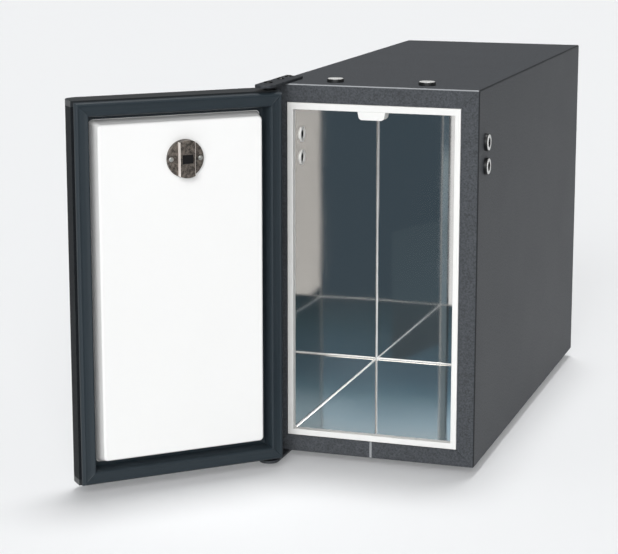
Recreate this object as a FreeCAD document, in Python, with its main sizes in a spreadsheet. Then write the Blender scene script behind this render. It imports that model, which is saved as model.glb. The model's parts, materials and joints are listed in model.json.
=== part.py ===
import FreeCAD, Part

import math
import os
import re

import Sketcher

# Counter-top milk fridge with its door open: insulated cabinet, drawn door, cooling unit at the rear.
# Millimetres. The origin is the middle of the casing's footprint on the floor, +Z up, front towards -Y.

doc = FreeCAD.newDocument("milk_fridge")
sheet = doc.addObject("Spreadsheet::Sheet", "Sizes")

SIZES = {
    "casing_width": 227.0,
    "casing_height": 400.0,
    "casing_depth": 545.0,
    "casing_sheet": 1.0,
    "bend_radius": 2.0,
    "flange_width": 19.2,
    "flange_bottom": 18.0,
    "rear_flange": 12.0,
    "mitre_gap": 0.4,
    "mitre_share": 0.85,
    "foot_height": 10.0,
    "foot_radius": 12.0,
    "foot_inset_x": 42.0,
    "foot_inset_y": 45.0,
    "frame_gap": 0.4,
    "frame_depth": 8.0,
    "frame_round": 0.8,
    "cavity_width": 175.0,
    "cavity_floor": 25.0,
    "cavity_top": 373.0,
    "cavity_depth": 319.0,
    "liner_sheet": 0.8,
    "liner_rim": 4.0,
    "liner_bend": 2.0,
    "liner_bend_outer": 2.8,
    "tab_x": -1.8,
    "tab_top": 30.0,
    "tab_bottom": 26.6,
    "tab_drop": 8.5,
    "tab_depth": 16.0,
    "foam_depth": 350.0,
    "port_back": 30.0,
    "port_height": 343.0,
    "port_pitch": 25.0,
    "port_bore": 4.5,
    "port_stem": 7.0,
    "port_flange": 9.0,
    "port_proud": 3.5,
    "port_play": 0.2,
    "ring_outer": 8.2,
    "ring_inner": 4.7,
    "ring_sunk": 0.8,
    "ring_thick": 1.4,
    "plug_offset": 50.0,
    "plug_depth": 14.0,
    "hinge_x": -105.9,
    "hinge_y": -24.8,
    "plate_width": 21.0,
    "plate_overhang": 28.0,
    "plate_overhang_low": 20.0,
    "plate_hold": 50.0,
    "plate_thick": 3.0,
    "plate_round": 10.0,
    "pin_radius": 3.0,
    "pin_head": 4.6,
    "pin_head_thick": 1.2,
    "pin_reach": 14.0,
    "bush_play": 0.05,
    "bush_radius": 5.0,
    "bush_flange": 5.8,
    "bush_flange_thick": 0.7,
    "screw_radius": 2.0,
    "screw_head": 4.2,
    "screw_head_thick": 1.6,
    "screw_length": 10.0,
    "screw_first": 14.0,
    "screw_second": 40.0,
    "door_angle": 136.3,
    "door_bottom": 1.0,
    "door_top": 396.3,
    "door_thick": 43.0,
    "door_round": 17.0,
    "door_sheet": 0.8,
    "door_seal_gap": 0.4,
    "gasket_thick": 9.6,
    "gasket_width": 13.8,
    "gasket_inset": 1.2,
    "gasket_round": 5.0,
    "gasket_lip": 1.6,
    "skirt_thick": 1.2,
    "magnet_width": 7.0,
    "magnet_thick": 3.0,
    "liner_thick": 1.5,
    "moat_width": 5.6,
    "moat_depth": 19.0,
    "plateau_back": 2.0,
    "plateau_draft": 4.2,
    "plateau_corner": 4.5,
    "plateau_round": 2.5,
    "cap_thick": 6.0,
    "cap_plug": 12.0,
    "dial_x": -2.6,
    "dial_height": 333.5,
    "dial_radius": 19.6,
    "dial_thick": 4.0,
    "bridge_width": 16.0,
    "bridge_proud": 6.0,
    "window_width": 11.6,
    "window_height": 9.0,
    "dial_screw_reach": 15.8,
    "rear_sheet": 1.2,
    "panel_margin": 3.0,
    "slot_width": 78.0,
    "slot_height": 5.0,
    "slot_pitch": 12.0,
    "slot_offset": 10.0,
    "unit_y": 175.0,
    "fan_height": 290.0,
    "fan_ring": 78.0,
    "rotor_radius": 72.0,
    "rotor_hub": 24.0,
    "rotor_depth": 18.0,
    "shroud_y": 162.0,
    "shroud_top": 398.0,
    "shroud_bottom": 184.0,
    "condenser_thick": 18.0,
    "header_x": 88.0,
    "header_radius": 9.0,
    "compressor_radius": 62.0,
    "compressor_height": 134.0,
    "inlet_x": 60.0,
    "switch_x": 10.0,
    "inlet_z": 50.0,
    "rocker_tilt": 8.0,
}

for row, (alias, value) in enumerate(SIZES.items(), start=1):
    sheet.set(f"A{row}", alias)
    sheet.set(f"B{row}", str(value))
    sheet.setAlias(f"B{row}", alias)
doc.recompute()

ALIAS = re.compile(r"\b[a-z]+(?:_[a-z]+)+\b")
AXES = {
    "x": FreeCAD.Rotation(FreeCAD.Vector(0, 1, 0), 90),
    "y": FreeCAD.Rotation(FreeCAD.Vector(1, 0, 0), -90),
    "z": FreeCAD.Rotation(),
}
SLOTS_UPPER = 15
SLOTS_LOWER = 6
FAN_BLADES = 7
CONDENSER_TUBES = 15

# Places that many pieces share, as expressions on the sheet.
HALF = "(casing_width / 2)"
FRONT = "(-casing_depth / 2)"
BACK = "(casing_depth / 2)"
BASE = "foot_height"
TOP = "(foot_height + casing_height)"
CAVITY_X = "(cavity_width / 2)"
CAVITY_LOW = "(foot_height + cavity_floor)"
CAVITY_HIGH = "(foot_height + cavity_top)"
CAVITY_FRONT = f"({FRONT} + frame_depth)"
CAVITY_BACK = f"({FRONT} + cavity_depth)"
FOAM_BACK = f"({FRONT} + foam_depth)"
WINDOW_X = f"({HALF} - flange_width)"
WINDOW_LOW = f"({BASE} + flange_bottom)"
WINDOW_HIGH = f"({TOP} - flange_width)"
PORT_Y = f"({FRONT} + port_back)"
PORT_HEIGHTS = ("(foot_height + port_height)", "(foot_height + port_height - port_pitch)")
AXIS_Y = f"({FRONT} + hinge_y)"
PLATE_LEFT = f"(-{HALF})"
SCREW_ROWS = (f"({FRONT} + screw_first)", f"({FRONT} + screw_second)")
DOOR_LOW = "(foot_height + door_bottom)"
DOOR_HIGH = "(foot_height + door_top)"
SEAL_Y = f"({FRONT} - door_seal_gap)"
SEAT_Y = f"({SEAL_Y} - gasket_thick)"
PAN_BACK = f"({SEAT_Y} - liner_thick)"
PAN_FRONT = f"({FRONT} - door_thick)"
GASKET_OUT = f"({HALF} - gasket_inset)"
GASKET_IN = f"({GASKET_OUT} - gasket_width)"
MOAT_Y = f"({SEAL_Y} - moat_depth)"
PLATEAU_Y = f"({FRONT} - plateau_back)"
EDGE_OUT = "gasket_inset"
EDGE_IN = "(gasket_inset + gasket_width)"
EDGE_PLATEAU = f"({EDGE_IN} + moat_width)"


def full(text):
    """The expression with the sheet's name before each of its aliases."""
    return ALIAS.sub(r"Sizes.\g<0>", text)


def drive(thing, prop, text):
    """Bind one property to an expression on the sheet."""
    thing.setExpression(prop, full(text))


def size(alias):
    """A sheet value, for features whose numbers can't be bound."""
    return float(sheet.get(alias))


def both(half):
    """The span from minus half to half."""
    return (f"-({half})", half)


def door_rows(inset):
    """The span of heights that leaves an inset at the door's top and bottom."""
    return (f"{DOOR_LOW} + ({inset})", f"{DOOR_HIGH} - ({inset})")


def box(name, x, y, z):
    """A block between a low and a high expression along each axis."""
    block = doc.addObject("Part::Box", name)
    for prop, axis, (low, high) in zip(("Length", "Width", "Height"), "xyz", (x, y, z)):
        drive(block, prop, f"({high}) - ({low})")
        drive(block, f"Placement.Base.{axis}", low)
    return block


def rod(name, axis, radius, centre, low, high):
    """A cylinder along an axis from low to high, at a centre given for the other two axes in order."""
    bar = doc.addObject("Part::Cylinder", name)
    bar.Placement = FreeCAD.Placement(FreeCAD.Vector(), AXES[axis])
    drive(bar, "Radius", radius)
    drive(bar, "Height", f"({high}) - ({low})")
    places = dict(zip([a for a in "xyz" if a != axis], centre))
    places[axis] = low
    for letter, text in places.items():
        drive(bar, f"Placement.Base.{letter}", text)
    return bar


def fuse(name, *pieces):
    """One solid of pieces that touch or overlap."""
    joined = doc.addObject("Part::MultiFuse", name)
    joined.Shapes = list(pieces)
    joined.Refine = True
    return joined


def cut(name, base, *tools):
    """A base less all the tools."""
    result = doc.addObject("Part::Cut", name)
    result.Base = base
    result.Tool = tools[0] if len(tools) == 1 else fuse(f"{name}_tools", *tools)
    return result


def group(name, pieces):
    """Like pieces that stay separate solids in one node."""
    bundle = doc.addObject("Part::Compound", name)
    bundle.Links = list(pieces)
    return bundle


def fillet(name, base, radius, chosen):
    """Round the edges of a base that the test chooses, by a radius from the sheet."""
    doc.recompute()
    rounded = doc.addObject("Part::Fillet", name)
    rounded.Base = base
    picked = [i for i, edge in enumerate(base.Shape.Edges, start=1) if chosen(edge)]
    rounded.Edges = [(i, size(radius), size(radius)) for i in picked]
    return rounded


def runs_along(edge, axis):
    """Whether a straight edge runs along one axis."""
    bounds = edge.BoundBox
    lengths = {"x": bounds.XLength, "y": bounds.YLength, "z": bounds.ZLength}
    return lengths[axis] > 0.99 * edge.Length


def at(value, target):
    """Whether two lengths agree."""
    return abs(value - target) < 0.01


def is_liner_bend(edge):
    """Whether an edge of the cavity's box is a bend of the liner: all but those round its open front."""
    return edge.BoundBox.YMax > size("cavity_depth") - size("casing_depth") / 2 - 1


def new_body(name):
    return doc.addObject("PartDesign::Body", name)


def new_sketch(body, role, height="0"):
    """A sketch on one of the body's own planes, moved along the plane's normal."""
    sketch = body.newObject("Sketcher::SketchObject", f"{body.Name}_sketch")
    plane = next(f for f in body.Origin.OriginFeatures if f.Role == role)
    sketch.AttachmentSupport = (plane, [""])
    sketch.MapMode = "FlatFace"
    drive(sketch, "AttachmentOffset.Base.z", height)
    return sketch


def hold(sketch, kind, first, second, text):
    """A bound distance constraint from the sketch's origin."""
    index = sketch.addConstraint(Sketcher.Constraint(kind, -1, 1, first, second, 1.0))
    drive(sketch, f"Constraints[{index}]", text)


def polygon(sketch, points):
    """A closed outline whose corners each hold two bound distances."""
    count = len(points)
    first = sketch.GeometryCount
    turns = [2 * math.pi * i / count for i in range(count + 1)]
    ring = [FreeCAD.Vector(math.cos(t), math.sin(t), 0) for t in turns]
    for start, end in zip(ring, ring[1:]):
        sketch.addGeometry(Part.LineSegment(start, end), False)
    for i in range(count):
        after = first + (i + 1) % count
        sketch.addConstraint(Sketcher.Constraint("Coincident", first + i, 2, after, 1))
    for i, (across, up) in enumerate(points):
        hold(sketch, "DistanceX", first + i, 1, across)
        hold(sketch, "DistanceY", first + i, 1, up)
    return sketch


def rectangle(sketch, across, up):
    """A closed rectangle between two pairs of expressions."""
    corners = [(across[0], up[0]), (across[1], up[0]), (across[1], up[1]), (across[0], up[1])]
    return polygon(sketch, corners)


def circle(sketch, radius, across, up):
    """A circle with a bound radius and centre."""
    index = sketch.addGeometry(Part.Circle(FreeCAD.Vector(1, 1, 0), FreeCAD.Vector(0, 0, 1), 1), False)
    bound = sketch.addConstraint(Sketcher.Constraint("Radius", index, 1.0))
    drive(sketch, f"Constraints[{bound}]", radius)
    hold(sketch, "DistanceX", index, 3, across)
    hold(sketch, "DistanceY", index, 3, up)
    return sketch


def pad(body, sketch, length):
    feature = body.newObject("PartDesign::Pad", f"{body.Name}_pad")
    feature.Profile = sketch
    drive(feature, "Length", length)
    return feature


def pocket(body, sketch):
    """A pocket through the whole body, both ways."""
    feature = body.newObject("PartDesign::Pocket", f"{body.Name}_pocket")
    feature.Profile = sketch
    feature.Type = "ThroughAll"
    feature.Midplane = True
    return feature


def body_fillet(body, radius, chosen):
    """Round the chosen edges of a body's last feature."""
    doc.recompute()
    base = body.Tip
    picked = [f"Edge{i}" for i, edge in enumerate(base.Shape.Edges, start=1) if chosen(edge)]
    feature = body.newObject("PartDesign::Fillet", f"{body.Name}_fillet")
    feature.Base = (base, picked)
    drive(feature, "Radius", radius)
    return feature


def revolve(body, sketch):
    """A full turn of a half outline about the sketch's upright axis."""
    feature = body.newObject("PartDesign::Revolution", f"{body.Name}_turn")
    feature.Profile = sketch
    feature.ReferenceAxis = (sketch, ["V_Axis"])
    feature.Angle = 360
    return feature


def pipe(name, radius, bend, points):
    """A round tube along straight runs joined by tangent arcs."""
    corners = [FreeCAD.Vector(*p) for p in points]
    edges = []
    start = corners[0]
    for before, corner, after in zip(corners, corners[1:], corners[2:]):
        towards = (before - corner).normalize()
        away = (after - corner).normalize()
        half_turn = towards.getAngle(away) / 2
        reach = bend / math.tan(half_turn)
        middle = (towards + away).normalize()
        centre = corner + middle * (bend / math.sin(half_turn))
        arc_in = corner + towards * reach
        arc_out = corner + away * reach
        edges.append(Part.LineSegment(start, arc_in).toShape())
        edges.append(Part.Arc(arc_in, centre - middle * bend, arc_out).toShape())
        start = arc_out
    edges.append(Part.LineSegment(start, corners[-1]).toShape())
    spine = Part.Wire(edges)
    section = Part.Wire(Part.makeCircle(radius, corners[0], corners[1] - corners[0]))
    tube = doc.addObject("Part::Feature", name)
    tube.Shape = spine.makePipeShell([section], True, False)
    share = tube.Shape.Volume / (math.pi * radius**2 * spine.Length)
    print(f"{name}: volume over section times length {share:.3f}")
    return tube


def swing(piece):
    """Turn a piece of the door, drawn shut, to the open angle about the hinge axis."""
    axis = FreeCAD.Vector(size("hinge_x"), size("hinge_y") - size("casing_depth") / 2, 0)
    turn = FreeCAD.Rotation(FreeCAD.Vector(0, 0, 1), -size("door_angle"))
    piece.Placement = FreeCAD.Placement(FreeCAD.Vector(), turn, axis)
    return piece


def side_port_rods(name, radius, low, high):
    """Rods across the side walls at the four hose ports, from a low to a high distance off the middle."""
    rods = []
    for level, z in enumerate(PORT_HEIGHTS):
        rods.append(rod(f"{name}_right_{level}", "x", radius, (PORT_Y, z), low, high))
        rods.append(rod(f"{name}_left_{level}", "x", radius, (PORT_Y, z), f"-({high})", f"-({low})"))
    return rods


def top_plug_rods(name, radius, low, high):
    """Rods down through the top at the two plugs."""
    places = ("-plug_offset", "plug_offset")
    return [rod(f"{name}_{i}", "z", radius, (x, PORT_Y), low, high) for i, x in enumerate(places)]


def hinge_screw_rods(name, radius, above, below):
    """Rods at the hinge screws, reaching above and below the casing's top, and mirrored at its foot."""
    rods = []
    for i, y in enumerate(SCREW_ROWS):
        centre = ("hinge_x", y)
        rods.append(rod(f"{name}_top_{i}", "z", radius, centre, f"{TOP} - ({below})", f"{TOP} + {above}"))
        rods.append(rod(f"{name}_foot_{i}", "z", radius, centre, f"{BASE} - ({above})", f"{BASE} + {below}"))
    return rods


def stub_rods(name, radius, low, high):
    """Rods along the evaporator's two tube ends."""
    return [rod(name, "y", radius, (x, "130"), low, high) for x in both("60")]


def mitre_slits():
    """Thin diagonal slits where the folded front flanges meet at the four corners."""
    slits = []
    for side in (1, -1):
        for up, row, drop in ((1, WINDOW_HIGH, "flange_width"), (-1, WINDOW_LOW, "flange_bottom")):
            body = new_body("mitre_slit")
            ends = []
            for share in ("-0.1", "mitre_share"):
                across = f"{side} * ({WINDOW_X} + flange_width * {share})"
                ends.append((across, f"{row} + {up} * {drop} * {share}"))
            corners = [(f"{x} - mitre_gap / 2", z) for x, z in ends]
            corners += [(f"{x} + mitre_gap / 2", z) for x, z in reversed(ends)]
            pad(body, polygon(new_sketch(body, "XZ_Plane", f"-({FRONT} + 2)"), corners), "4")
            slits.append(body)
    return slits


def outer_casing():
    """Sheet steel wrapped round all four sides, with mitred flanges folded in at the front and rear."""
    block = box("casing_block", both(HALF), (FRONT, BACK), (BASE, TOP))
    bent = fillet("casing_bent", block, "bend_radius", lambda edge: True)
    rows = (f"{BASE} + casing_sheet", f"{TOP} - casing_sheet")
    depth = (f"{FRONT} + casing_sheet", f"{BACK} - casing_sheet")
    hollow = box("casing_hollow", both(f"{HALF} - casing_sheet"), depth, rows)
    mouth = box("casing_mouth", both(WINDOW_X), (f"{FRONT} - 1", f"{FRONT} + 2"), (WINDOW_LOW, WINDOW_HIGH))
    rear_rows = (f"{BASE} + rear_flange", f"{TOP} - rear_flange")
    rear = box("casing_rear", both(f"{HALF} - rear_flange"), (f"{BACK} - 2", f"{BACK} + 1"), rear_rows)
    seam_rows = (f"{BASE} + bend_radius", f"{WINDOW_LOW} + 1")
    seam = box("casing_seam", both("mitre_gap / 2"), (f"{FRONT} - 1", f"{FRONT} + 2"), seam_rows)
    ports = side_port_rods("casing_port", "port_stem + port_play", f"{HALF} - 3", f"{HALF} + 1")
    plugs = top_plug_rods("casing_plug", "port_stem + port_play", f"{TOP} - 3", f"{TOP} + 1")
    screws = hinge_screw_rods("casing_screw", "screw_radius + port_play", "1", "3")
    panel = panel_screw_rods("casing_panel_screw", "screw_radius + port_play", "3", "1")
    slits = mitre_slits()
    return cut("outer_casing", bent, hollow, mouth, rear, seam, *ports, *plugs, *screws, *panel, *slits)


def panel_screw_places():
    """Eight places round the rear flange, as expressions across and up."""
    across = f"({HALF} - rear_flange / 2 - 1)"
    rows = (f"({BASE} + 16)", f"({BASE} + casing_height / 2)", f"({TOP} - 16)")
    places = [(f"{sign}{across}", row) for sign in ("-", "") for row in rows]
    places += [("0", f"({BASE} + rear_flange / 2 + 1)"), ("0", f"({TOP} - rear_flange / 2 - 1)")]
    return places


def panel_screw_rods(name, radius, before, behind):
    """Rods through the rear flange at the panel's screws, before and behind the casing's back."""
    span = (f"{BACK} - ({before})", f"{BACK} + {behind}")
    return [rod(f"{name}_{i}", "y", radius, place, *span) for i, place in enumerate(panel_screw_places())]


def slot_rows(body, first, count):
    """Two columns of vent slots cut through a panel and repeated up it."""
    sketch = new_sketch(body, "XZ_Plane", f"-({BACK})")
    row = (f"{first} - slot_height / 2", f"{first} + slot_height / 2")
    rectangle(sketch, ("slot_offset", "slot_offset + slot_width"), row)
    rectangle(sketch, ("-slot_offset - slot_width", "-slot_offset"), row)
    slots = pocket(body, sketch)
    doc.recompute()
    rows = body.newObject("PartDesign::LinearPattern", f"{body.Name}_rows")
    rows.Originals = [slots]
    rows.Direction = (sketch, ["V_Axis"])
    drive(rows, "Length", f"slot_pitch * {count - 1}")
    rows.Occurrences = count
    body.Tip = rows
    return rows


def rear_panel():
    """Screwed rear panel with vent slots for the cooling air and cut-outs for the inlet and the switch."""
    body = new_body("rear_panel")
    plate = new_sketch(body, "XZ_Plane", f"-({BACK} + rear_sheet)")
    rectangle(plate, both(f"{HALF} - panel_margin"), (f"{BASE} + panel_margin", f"{TOP} - panel_margin"))
    pad(body, plate, "rear_sheet").Reversed = False
    holes = new_sketch(body, "XZ_Plane", f"-({BACK})")
    for place in panel_screw_places():
        circle(holes, "screw_radius + port_play", *place)
    rectangle(holes, ("inlet_x - 14.2", "inlet_x + 14.2"), ("inlet_z - 10.7", "inlet_z + 10.7"))
    rectangle(holes, ("switch_x - 10.2", "switch_x + 10.2"), ("inlet_z - 7.2", "inlet_z + 7.2"))
    pocket(body, holes)
    doc.recompute()
    slot_rows(body, "fan_height - slot_pitch * 7", SLOTS_UPPER)
    slot_rows(body, "inlet_z + slot_pitch * 4", SLOTS_LOWER)
    return body


def panel_screws():
    """Dome-head screws that hold the rear panel on the casing's rear flange."""
    heads = panel_screw_rods("panel_head", "screw_head", "-rear_sheet", "rear_sheet + screw_head_thick")
    shanks = panel_screw_rods("panel_shank", "screw_radius", "screw_length - 2", "rear_sheet")
    return group("panel_screws", [fuse("panel_screw", *pair) for pair in zip(heads, shanks)])


def foam_slabs():
    """Foam boards between the casing and the liner, cut for the frame, evaporator, ports and screws."""
    rows = (f"{BASE} + casing_sheet", f"{TOP} - casing_sheet")
    depth = (f"{FRONT} + casing_sheet", FOAM_BACK)
    wall = f"{CAVITY_X} + liner_sheet"
    skin = f"{HALF} - casing_sheet"
    ceiling = f"{CAVITY_HIGH} + liner_sheet"
    floor = f"{CAVITY_LOW} - liner_sheet"
    recess_rows = (WINDOW_LOW, WINDOW_HIGH)
    recess = box("foam_recess", both(WINDOW_X), (FRONT, f"{CAVITY_FRONT} + liner_sheet"), recess_rows)
    pocket_depth = (f"{CAVITY_BACK} - 1", f"{CAVITY_BACK} + 12")
    rear = box("foam_evaporator", both("76"), pocket_depth, ("105", "355"))
    stubs = stub_rods("foam_stub", "4.3", CAVITY_BACK, f"{FOAM_BACK} + 1")
    ports = side_port_rods("foam_port", "port_stem + port_play", f"{CAVITY_X} - 1", HALF)
    plugs = top_plug_rods("foam_plug", "port_stem + port_play", f"{TOP} - plug_depth - port_play", TOP)
    screws = hinge_screw_rods("foam_screw", "screw_radius + port_play", "0", "screw_length + 1")
    left = box("foam_left_board", (f"-({skin})", f"-({wall})"), depth, rows)
    right = box("foam_right_board", (wall, skin), depth, rows)
    top = box("foam_top_board", both(wall), depth, (ceiling, rows[1]))
    bottom = box("foam_floor_board", both(wall), depth, (rows[0], floor))
    back = box("foam_rear_board", both(wall), (f"{CAVITY_BACK} + liner_sheet", FOAM_BACK), (floor, ceiling))
    return [
        cut("foam_left", left, recess, *ports, *screws),
        cut("foam_right", right, recess, *ports),
        cut("foam_top", top, recess, *plugs),
        cut("foam_floor", bottom, recess),
        cut("foam_rear", back, rear, *stubs),
    ]


def inner_liner():
    """Polished stainless cavity, folded as a five-sided box with a rim behind the white frame."""
    wall_rows = (f"{CAVITY_LOW} - liner_sheet", f"{CAVITY_HIGH} + liner_sheet")
    wall_depth = (CAVITY_FRONT, f"{CAVITY_BACK} + liner_sheet")
    walls = box("liner_walls", both(f"{CAVITY_X} + liner_sheet"), wall_depth, wall_rows)
    bent = fillet("liner_bent", walls, "liner_bend_outer", is_liner_bend)
    rim_rows = (f"{CAVITY_LOW} - liner_rim", f"{CAVITY_HIGH} + liner_rim")
    rim_depth = (CAVITY_FRONT, f"{CAVITY_FRONT} + liner_sheet")
    rim = box("liner_rim_plate", both(f"{CAVITY_X} + liner_rim"), rim_depth, rim_rows)
    space = box("liner_space", both(CAVITY_X), (f"{FRONT} - 1", CAVITY_BACK), (CAVITY_LOW, CAVITY_HIGH))
    inside = fillet("liner_inside", space, "liner_bend", is_liner_bend)
    ports = side_port_rods("liner_port", "port_stem + port_play", f"{CAVITY_X} - 1", f"{CAVITY_X} + 2")
    return cut("inner_liner", fuse("liner_sheets", bent, rim), inside, *ports)


def front_frame():
    """White moulded strip that closes the gap between the front flange and the liner."""
    rows = (f"{WINDOW_LOW} + frame_gap", f"{WINDOW_HIGH} - frame_gap")
    block = box("frame_block", both(f"{WINDOW_X} - frame_gap"), (FRONT, CAVITY_FRONT), rows)
    depth = (f"{FRONT} - 1", f"{CAVITY_FRONT} + 1")
    space = box("frame_space", both(CAVITY_X), depth, (CAVITY_LOW, CAVITY_HIGH))
    ring = cut("frame_ring", block, space)
    front = -size("casing_depth") / 2
    return fillet("front_frame", ring, "frame_round", lambda edge: at(edge.BoundBox.YMax, front))


def sensor_cover():
    """Small white tapered cover under the cavity's ceiling, just inside the frame."""
    body = new_body("sensor_cover")
    sketch = new_sketch(body, "XZ_Plane", f"-({CAVITY_FRONT} - 7 + tab_depth)")
    low = f"{CAVITY_HIGH} - tab_drop"
    corners = [
        ("tab_x - tab_top / 2", CAVITY_HIGH),
        ("tab_x - tab_bottom / 2", low),
        ("tab_x + tab_bottom / 2", low),
        ("tab_x + tab_top / 2", CAVITY_HIGH),
    ]
    pad(body, polygon(sketch, corners), "tab_depth")
    foot = size("foot_height") + size("cavity_top") - size("tab_drop")
    is_foot = lambda edge: runs_along(edge, "y") and at(edge.BoundBox.ZMin, foot)
    body_fillet(body, "frame_round * 5", is_foot)
    return body


def bulkhead():
    """Steel sheet that closes the insulated box towards the machine space."""
    rows = (f"{BASE} + casing_sheet", f"{TOP} - casing_sheet")
    depth = (FOAM_BACK, f"{FOAM_BACK} + casing_sheet")
    plate = box("bulkhead_plate", both(f"{HALF} - casing_sheet"), depth, rows)
    holes = stub_rods("bulkhead_hole", "4.3", FOAM_BACK, f"{FOAM_BACK} + 2")
    return cut("bulkhead", plate, *holes)


def evaporator():
    """Flat evaporator on the back of the liner: a plate with raised flow channels and two tube ends."""
    face = f"({CAVITY_BACK} + liner_sheet)"
    plate = box("evaporator_plate", both("70"), (face, f"{face} + 2"), ("112", "348"))
    raised = (f"{face} + 2", f"{face} + 6")
    rails = []
    for i in range(7):
        z = f"({135 + 32 * i})"
        rails.append(box("evaporator_run", both("60"), raised, (f"{z} - 5", f"{z} + 5")))
        if i:
            side = 1 if i % 2 else -1
            span = sorted((side * 50, side * 60))
            rise = (f"{z} - 32", z)
            link = box("evaporator_link", (str(span[0]), str(span[1])), raised, rise)
            rails.append(link)
    stubs = stub_rods("evaporator_stub", "4", f"{face} + 1", f"{FOAM_BACK} + 12")
    return fuse("evaporator", plate, *rails, *stubs)


def port_sleeves():
    """Black sleeves through the side walls for the milk hoses, each with an outer flange and a sunk face."""
    stems = side_port_rods("sleeve_stem", "port_stem", CAVITY_X, f"{HALF} + 1")
    flanges = side_port_rods("sleeve_flange", "port_flange", HALF, f"{HALF} + port_proud")
    bores = side_port_rods("sleeve_bore", "port_bore", f"{CAVITY_X} - 1", f"{HALF} + port_proud + 1")
    face = f"{HALF} + port_proud"
    seats = side_port_rods("sleeve_seat", "ring_outer + 0.1", f"{face} - ring_sunk", f"{face} + 1")
    sleeves = []
    for stem, flange, bore, seat in zip(stems, flanges, bores, seats):
        sleeves.append(cut("sleeve", fuse("sleeve_blank", stem, flange), bore, seat))
    return group("port_sleeves", sleeves)


def rings(name, low, high):
    """Flat rings round the hose ports between two distances from the middle."""
    outside = side_port_rods(f"{name}_disc", "ring_outer", low, high)
    inside = side_port_rods(f"{name}_hole", "ring_inner", f"{low} - 1", f"{high} + 1")
    return group(name, [cut(f"{name}_ring", a, b) for a, b in zip(outside, inside)])


def port_rings():
    """Light rings sunk in the sleeves' outer faces."""
    low = f"{HALF} + port_proud - ring_sunk"
    return rings("port_rings", low, f"{low} + ring_thick")


def liner_rings():
    """White rings that close the sleeves on the cavity side."""
    return rings("liner_rings", f"{CAVITY_X} - ring_thick", CAVITY_X)


def top_plugs():
    """Black plugs in the two unused ports in the top."""
    stems = top_plug_rods("plug_stem", "port_stem", f"{TOP} - plug_depth", f"{TOP} + 1")
    heads = top_plug_rods("plug_head", "port_flange", TOP, f"{TOP} + port_proud")
    seats = top_plug_rods("plug_seat", "ring_outer + 0.1", f"{TOP} + port_proud - ring_sunk", f"{TOP} + 8")
    plugs = [cut("plug", fuse("plug_blank", a, b), c) for a, b, c in zip(stems, heads, seats)]
    return group("top_plugs", plugs)


def plug_discs():
    """Light discs on the top plugs."""
    low = f"{TOP} + port_proud - ring_sunk"
    return group("plug_discs", top_plug_rods("plug_disc", "ring_outer", low, f"{low} + ring_thick"))


def hinge_plate(name, low, overhang):
    """Flat steel hinge arm screwed to the casing, reaching out over the door with a rounded end."""
    body = new_body(name)
    sketch = new_sketch(body, "XY_Plane", low)
    across = (PLATE_LEFT, f"{PLATE_LEFT} + plate_width")
    rectangle(sketch, across, (f"{AXIS_Y} - {overhang}", f"{FRONT} + plate_hold"))
    pad(body, sketch, "plate_thick")
    front = size("hinge_y") - size("casing_depth") / 2 - size(overhang)
    body_fillet(body, "plate_round", lambda edge: runs_along(edge, "z") and at(edge.BoundBox.YMin, front))
    back = size("plate_hold") - size("casing_depth") / 2
    body_fillet(body, "plate_round / 4", lambda edge: runs_along(edge, "z") and at(edge.BoundBox.YMax, back))
    holes = new_sketch(body, "XY_Plane", low)
    circle(holes, "pin_radius + bush_play", "hinge_x", AXIS_Y)
    for y in SCREW_ROWS:
        circle(holes, "screw_radius + port_play", "hinge_x", y)
    pocket(body, holes)
    return body


def hinge_pin(name, ends, head):
    """Turned steel pin riveted in a hinge arm, with its free end in the door's bush."""
    shank = rod(f"{name}_shank", "z", "pin_radius", ("hinge_x", AXIS_Y), *ends)
    cap = rod(f"{name}_head", "z", "pin_head", ("hinge_x", AXIS_Y), *head)
    return fuse(name, shank, cap)


def hinge_screws():
    """Four screws that hold the hinge arms on the casing's top and foot."""
    heads = hinge_screw_rods("hinge_head", "screw_head", "plate_thick + screw_head_thick", "-plate_thick")
    shanks = hinge_screw_rods("hinge_shank", "screw_radius", "plate_thick", "screw_length")
    return group("hinge_screws", [fuse("hinge_screw", *pair) for pair in zip(heads, shanks)])


def feet():
    """Four moulded rubber feet, wider at the floor."""
    made = []
    for i, x in enumerate(both(f"{HALF} - foot_inset_x")):
        for j, y in enumerate((f"{FRONT} + foot_inset_y", f"{BACK} - foot_inset_y")):
            foot = doc.addObject("Part::Cone", f"foot_{i}_{j}")
            drive(foot, "Radius1", "foot_radius")
            drive(foot, "Radius2", "foot_radius - 2")
            drive(foot, "Height", "foot_height")
            drive(foot, "Placement.Base.x", x)
            drive(foot, "Placement.Base.y", y)
            made.append(foot)
    return group("feet", made)


def pan_outline(body, inset, low, high):
    """The door pan's outline seen from above, less an inset, padded between two heights."""
    sketch = new_sketch(body, "XY_Plane", low)
    rectangle(sketch, both(f"{HALF} - {inset}"), (f"{PAN_FRONT} + {inset}", f"{PAN_BACK} - {inset}"))
    pad(body, sketch, f"({high}) - ({low})")


def round_pan(body, inset):
    """Round the pan's outer upright edges, less the inset."""
    outer = -size("casing_depth") / 2 - size("door_thick") + float(inset)
    front_edge = lambda edge: runs_along(edge, "z") and at(edge.BoundBox.YMin, outer)
    body_fillet(body, f"door_round - {inset}", front_edge)


def door_skin():
    """Sheet steel door pan wrapped round both upright edges, with returns behind the gasket."""
    low, high = door_rows("cap_thick")
    body = new_body("door_skin")
    pan_outline(body, "0", low, high)
    round_pan(body, "0")
    inner = new_body("door_skin_space")
    pan_outline(inner, "door_sheet", f"{low} - 1", f"{high} + 1")
    round_pan(inner, size("door_sheet"))
    depth = (f"{PAN_BACK} - 3", f"{PAN_BACK} + 1")
    mouth = box("door_skin_mouth", both(f"{GASKET_IN} + liner_thick"), depth, (f"{low} - 1", f"{high} + 1"))
    body.Label = "door_skin_blank"
    skin = cut("door_skin_sheet", body, inner, mouth)
    skin.Label = "door_skin"
    return swing(skin)


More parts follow.
